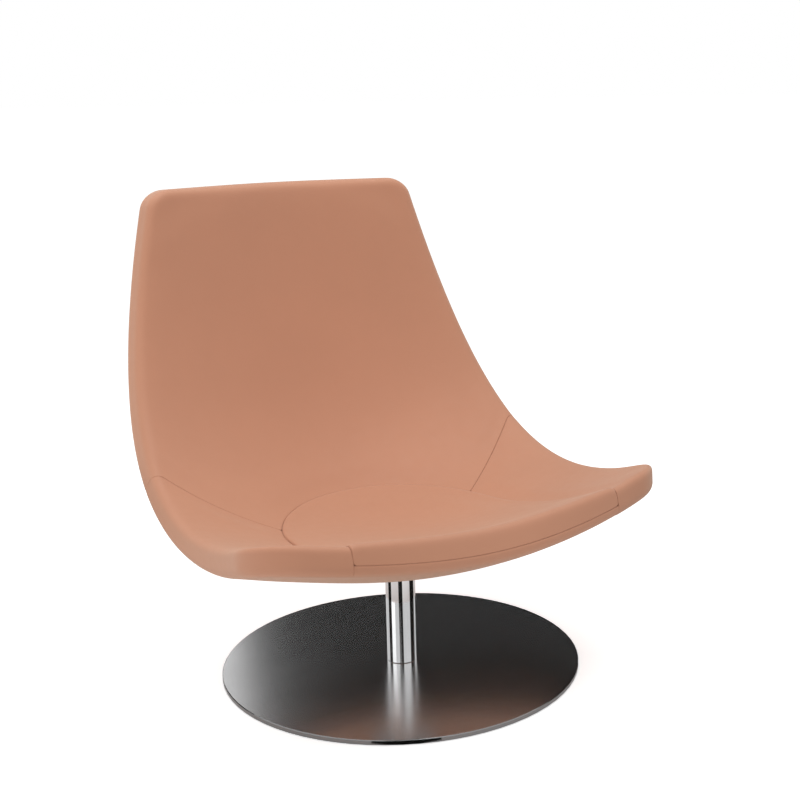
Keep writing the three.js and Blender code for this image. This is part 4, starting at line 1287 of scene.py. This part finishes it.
class ARMCHAIR_OT_metal(bpy.types.Operator):
    """Finishes the plate, the column, the bearing, the fixings and the inner shell of the frame"""
    bl_idname = "armchair.metal"
    bl_label = "Base, column and fixings"

    def execute(self, context):
        c = context.scene.armchair_colours
        polished = metal_material(
            "polished_steel", c.polished_steel, roughness=0.05, scale=8, strength=0.02, stretch=(60, 60, 1))
        satin = metal_material(
            "satin_plate", c.plate_steel, roughness=0.20, scale=6, strength=0, stretch=(1, 6, 1),
            spread=0.02)
        # Painted shade on the plate's edge, where it doesn't face up
        paint_edge_shade(satin, 0.4)
        zinc = metal_material("zinc_steel", c.zinc, roughness=0.38, scale=240, strength=0.15)
        spring = metal_material(
            "black_spring_steel", (0.03, 0.03, 0.03), roughness=0.35, scale=200, strength=0.1)
        black = plastic_material("black_plastic", c.black, roughness=0.6, scale=800, strength=0.2)
        nylon = plastic_material("natural_nylon", c.nylon, roughness=0.45, scale=300, strength=0.1)
        moulding = plastic_material("moulded_shell", c.moulding, roughness=0.65, scale=500, strength=0.2)
        fixings = [f"{kind}_{k}" for kind in ("mount_bolt", "threaded_insert") for k in (1, 2, 3, 4)]
        dress(["column_tube"], polished)
        dress(["base_plate"], satin)
        dress(["seat_flange", "swivel_spindle", "spindle_washer", "column_bolt", "column_foot_plug"], zinc)
        dress(fixings, zinc)
        dress(["spindle_circlip"], spring)
        dress(["floor_pad", "thrust_washer"], black)
        dress(["upper_bush", "lower_bush"], nylon)
        dress(["inner_shell"], moulding)
        return {"FINISHED"}


class ARMCHAIR_OT_back(bpy.types.Operator):
    """Makes the padded back, which wraps round the rim"""
    bl_idname = "armchair.back"
    bl_label = "Back cushion"

    def execute(self, context):
        seat = seat_layout(context)
        groups = [[0, 1, 2], [3], [4], [5]]
        piece = make_panel("back_cushion", seat, back_sides(seat), groups, drawn_seams(seat))
        enter(piece, "back_upholstery")
        return {"FINISHED"}


class ARMCHAIR_OT_wings(bpy.types.Operator):
    """Makes the two padded wings in front of the side seams"""
    bl_idname = "armchair.wings"
    bl_label = "Wing cushions"

    def execute(self, context):
        seat = seat_layout(context)
        for node in ("wing_upholstery_left", "wing_upholstery_right"):
            low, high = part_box(node)
            side = 1 if low.x + high.x > 0 else -1
            name = node.replace("upholstery", "cushion")
            piece = make_panel(name, seat, wing_sides(seat, side), FOUR_SIDES, drawn_seams(seat))
            enter(piece, node)
        return {"FINISHED"}


class ARMCHAIR_OT_pad(bpy.types.Operator):
    """Makes the raised seat pad"""
    bl_idname = "armchair.pad"
    bl_label = "Seat cushion"

    def execute(self, context):
        enter(make_pad(seat_layout(context)), "seat_pad")
        return {"FINISHED"}


class ARMCHAIR_OT_cover(bpy.types.Operator):
    """Makes the cover of the underside and the outer back"""
    bl_idname = "armchair.cover"
    bl_label = "Outer cover"

    def execute(self, context):
        enter(make_cover(seat_layout(context)), "outer_cover")
        return {"FINISHED"}


class ARMCHAIR_OT_threads(bpy.types.Operator):
    """Makes the threads that show in the seams"""
    bl_idname = "armchair.threads"
    bl_label = "Seam threads"

    def execute(self, context):
        make_threads(seat_layout(context), thread_material(context.scene.armchair_colours))
        return {"FINISHED"}


class ARMCHAIR_PT_panel(bpy.types.Panel):
    """Lists the sizes, the colours and the pieces"""
    bl_idname = "ARMCHAIR_PT_panel"
    bl_label = "Swivel armchair"
    bl_space_type = "VIEW_3D"
    bl_region_type = "UI"
    bl_category = "Armchair"

    def draw(self, context):
        column = self.layout.column()
        for group in (context.scene.armchair_sizes, context.scene.armchair_colours):
            for name in group.__annotations__:
                column.prop(group, name)
        column.separator()
        for operator in OPERATORS:
            column.operator(operator.bl_idname)


OPERATORS = (ARMCHAIR_OT_stage, ARMCHAIR_OT_metal, ARMCHAIR_OT_back, ARMCHAIR_OT_wings, ARMCHAIR_OT_pad,
             ARMCHAIR_OT_cover, ARMCHAIR_OT_threads)
CLASSES = (ArmchairSizes, ArmchairColours, *OPERATORS, ARMCHAIR_PT_panel)


def register():
    for cls in CLASSES:
        bpy.utils.register_class(cls)
    bpy.types.Scene.armchair_sizes = PointerProperty(type=ArmchairSizes)
    bpy.types.Scene.armchair_colours = PointerProperty(type=ArmchairColours)


def unregister():
    del bpy.types.Scene.armchair_colours
    del bpy.types.Scene.armchair_sizes
    for cls in reversed(CLASSES):
        bpy.utils.unregister_class(cls)


def main():
    register()
    bpy.ops.armchair.stage()
    bpy.ops.armchair.metal()
    bpy.ops.armchair.back()
    bpy.ops.armchair.wings()
    bpy.ops.armchair.pad()
    bpy.ops.armchair.cover()
    bpy.ops.armchair.threads()


if __name__ == "__main__":
    main()
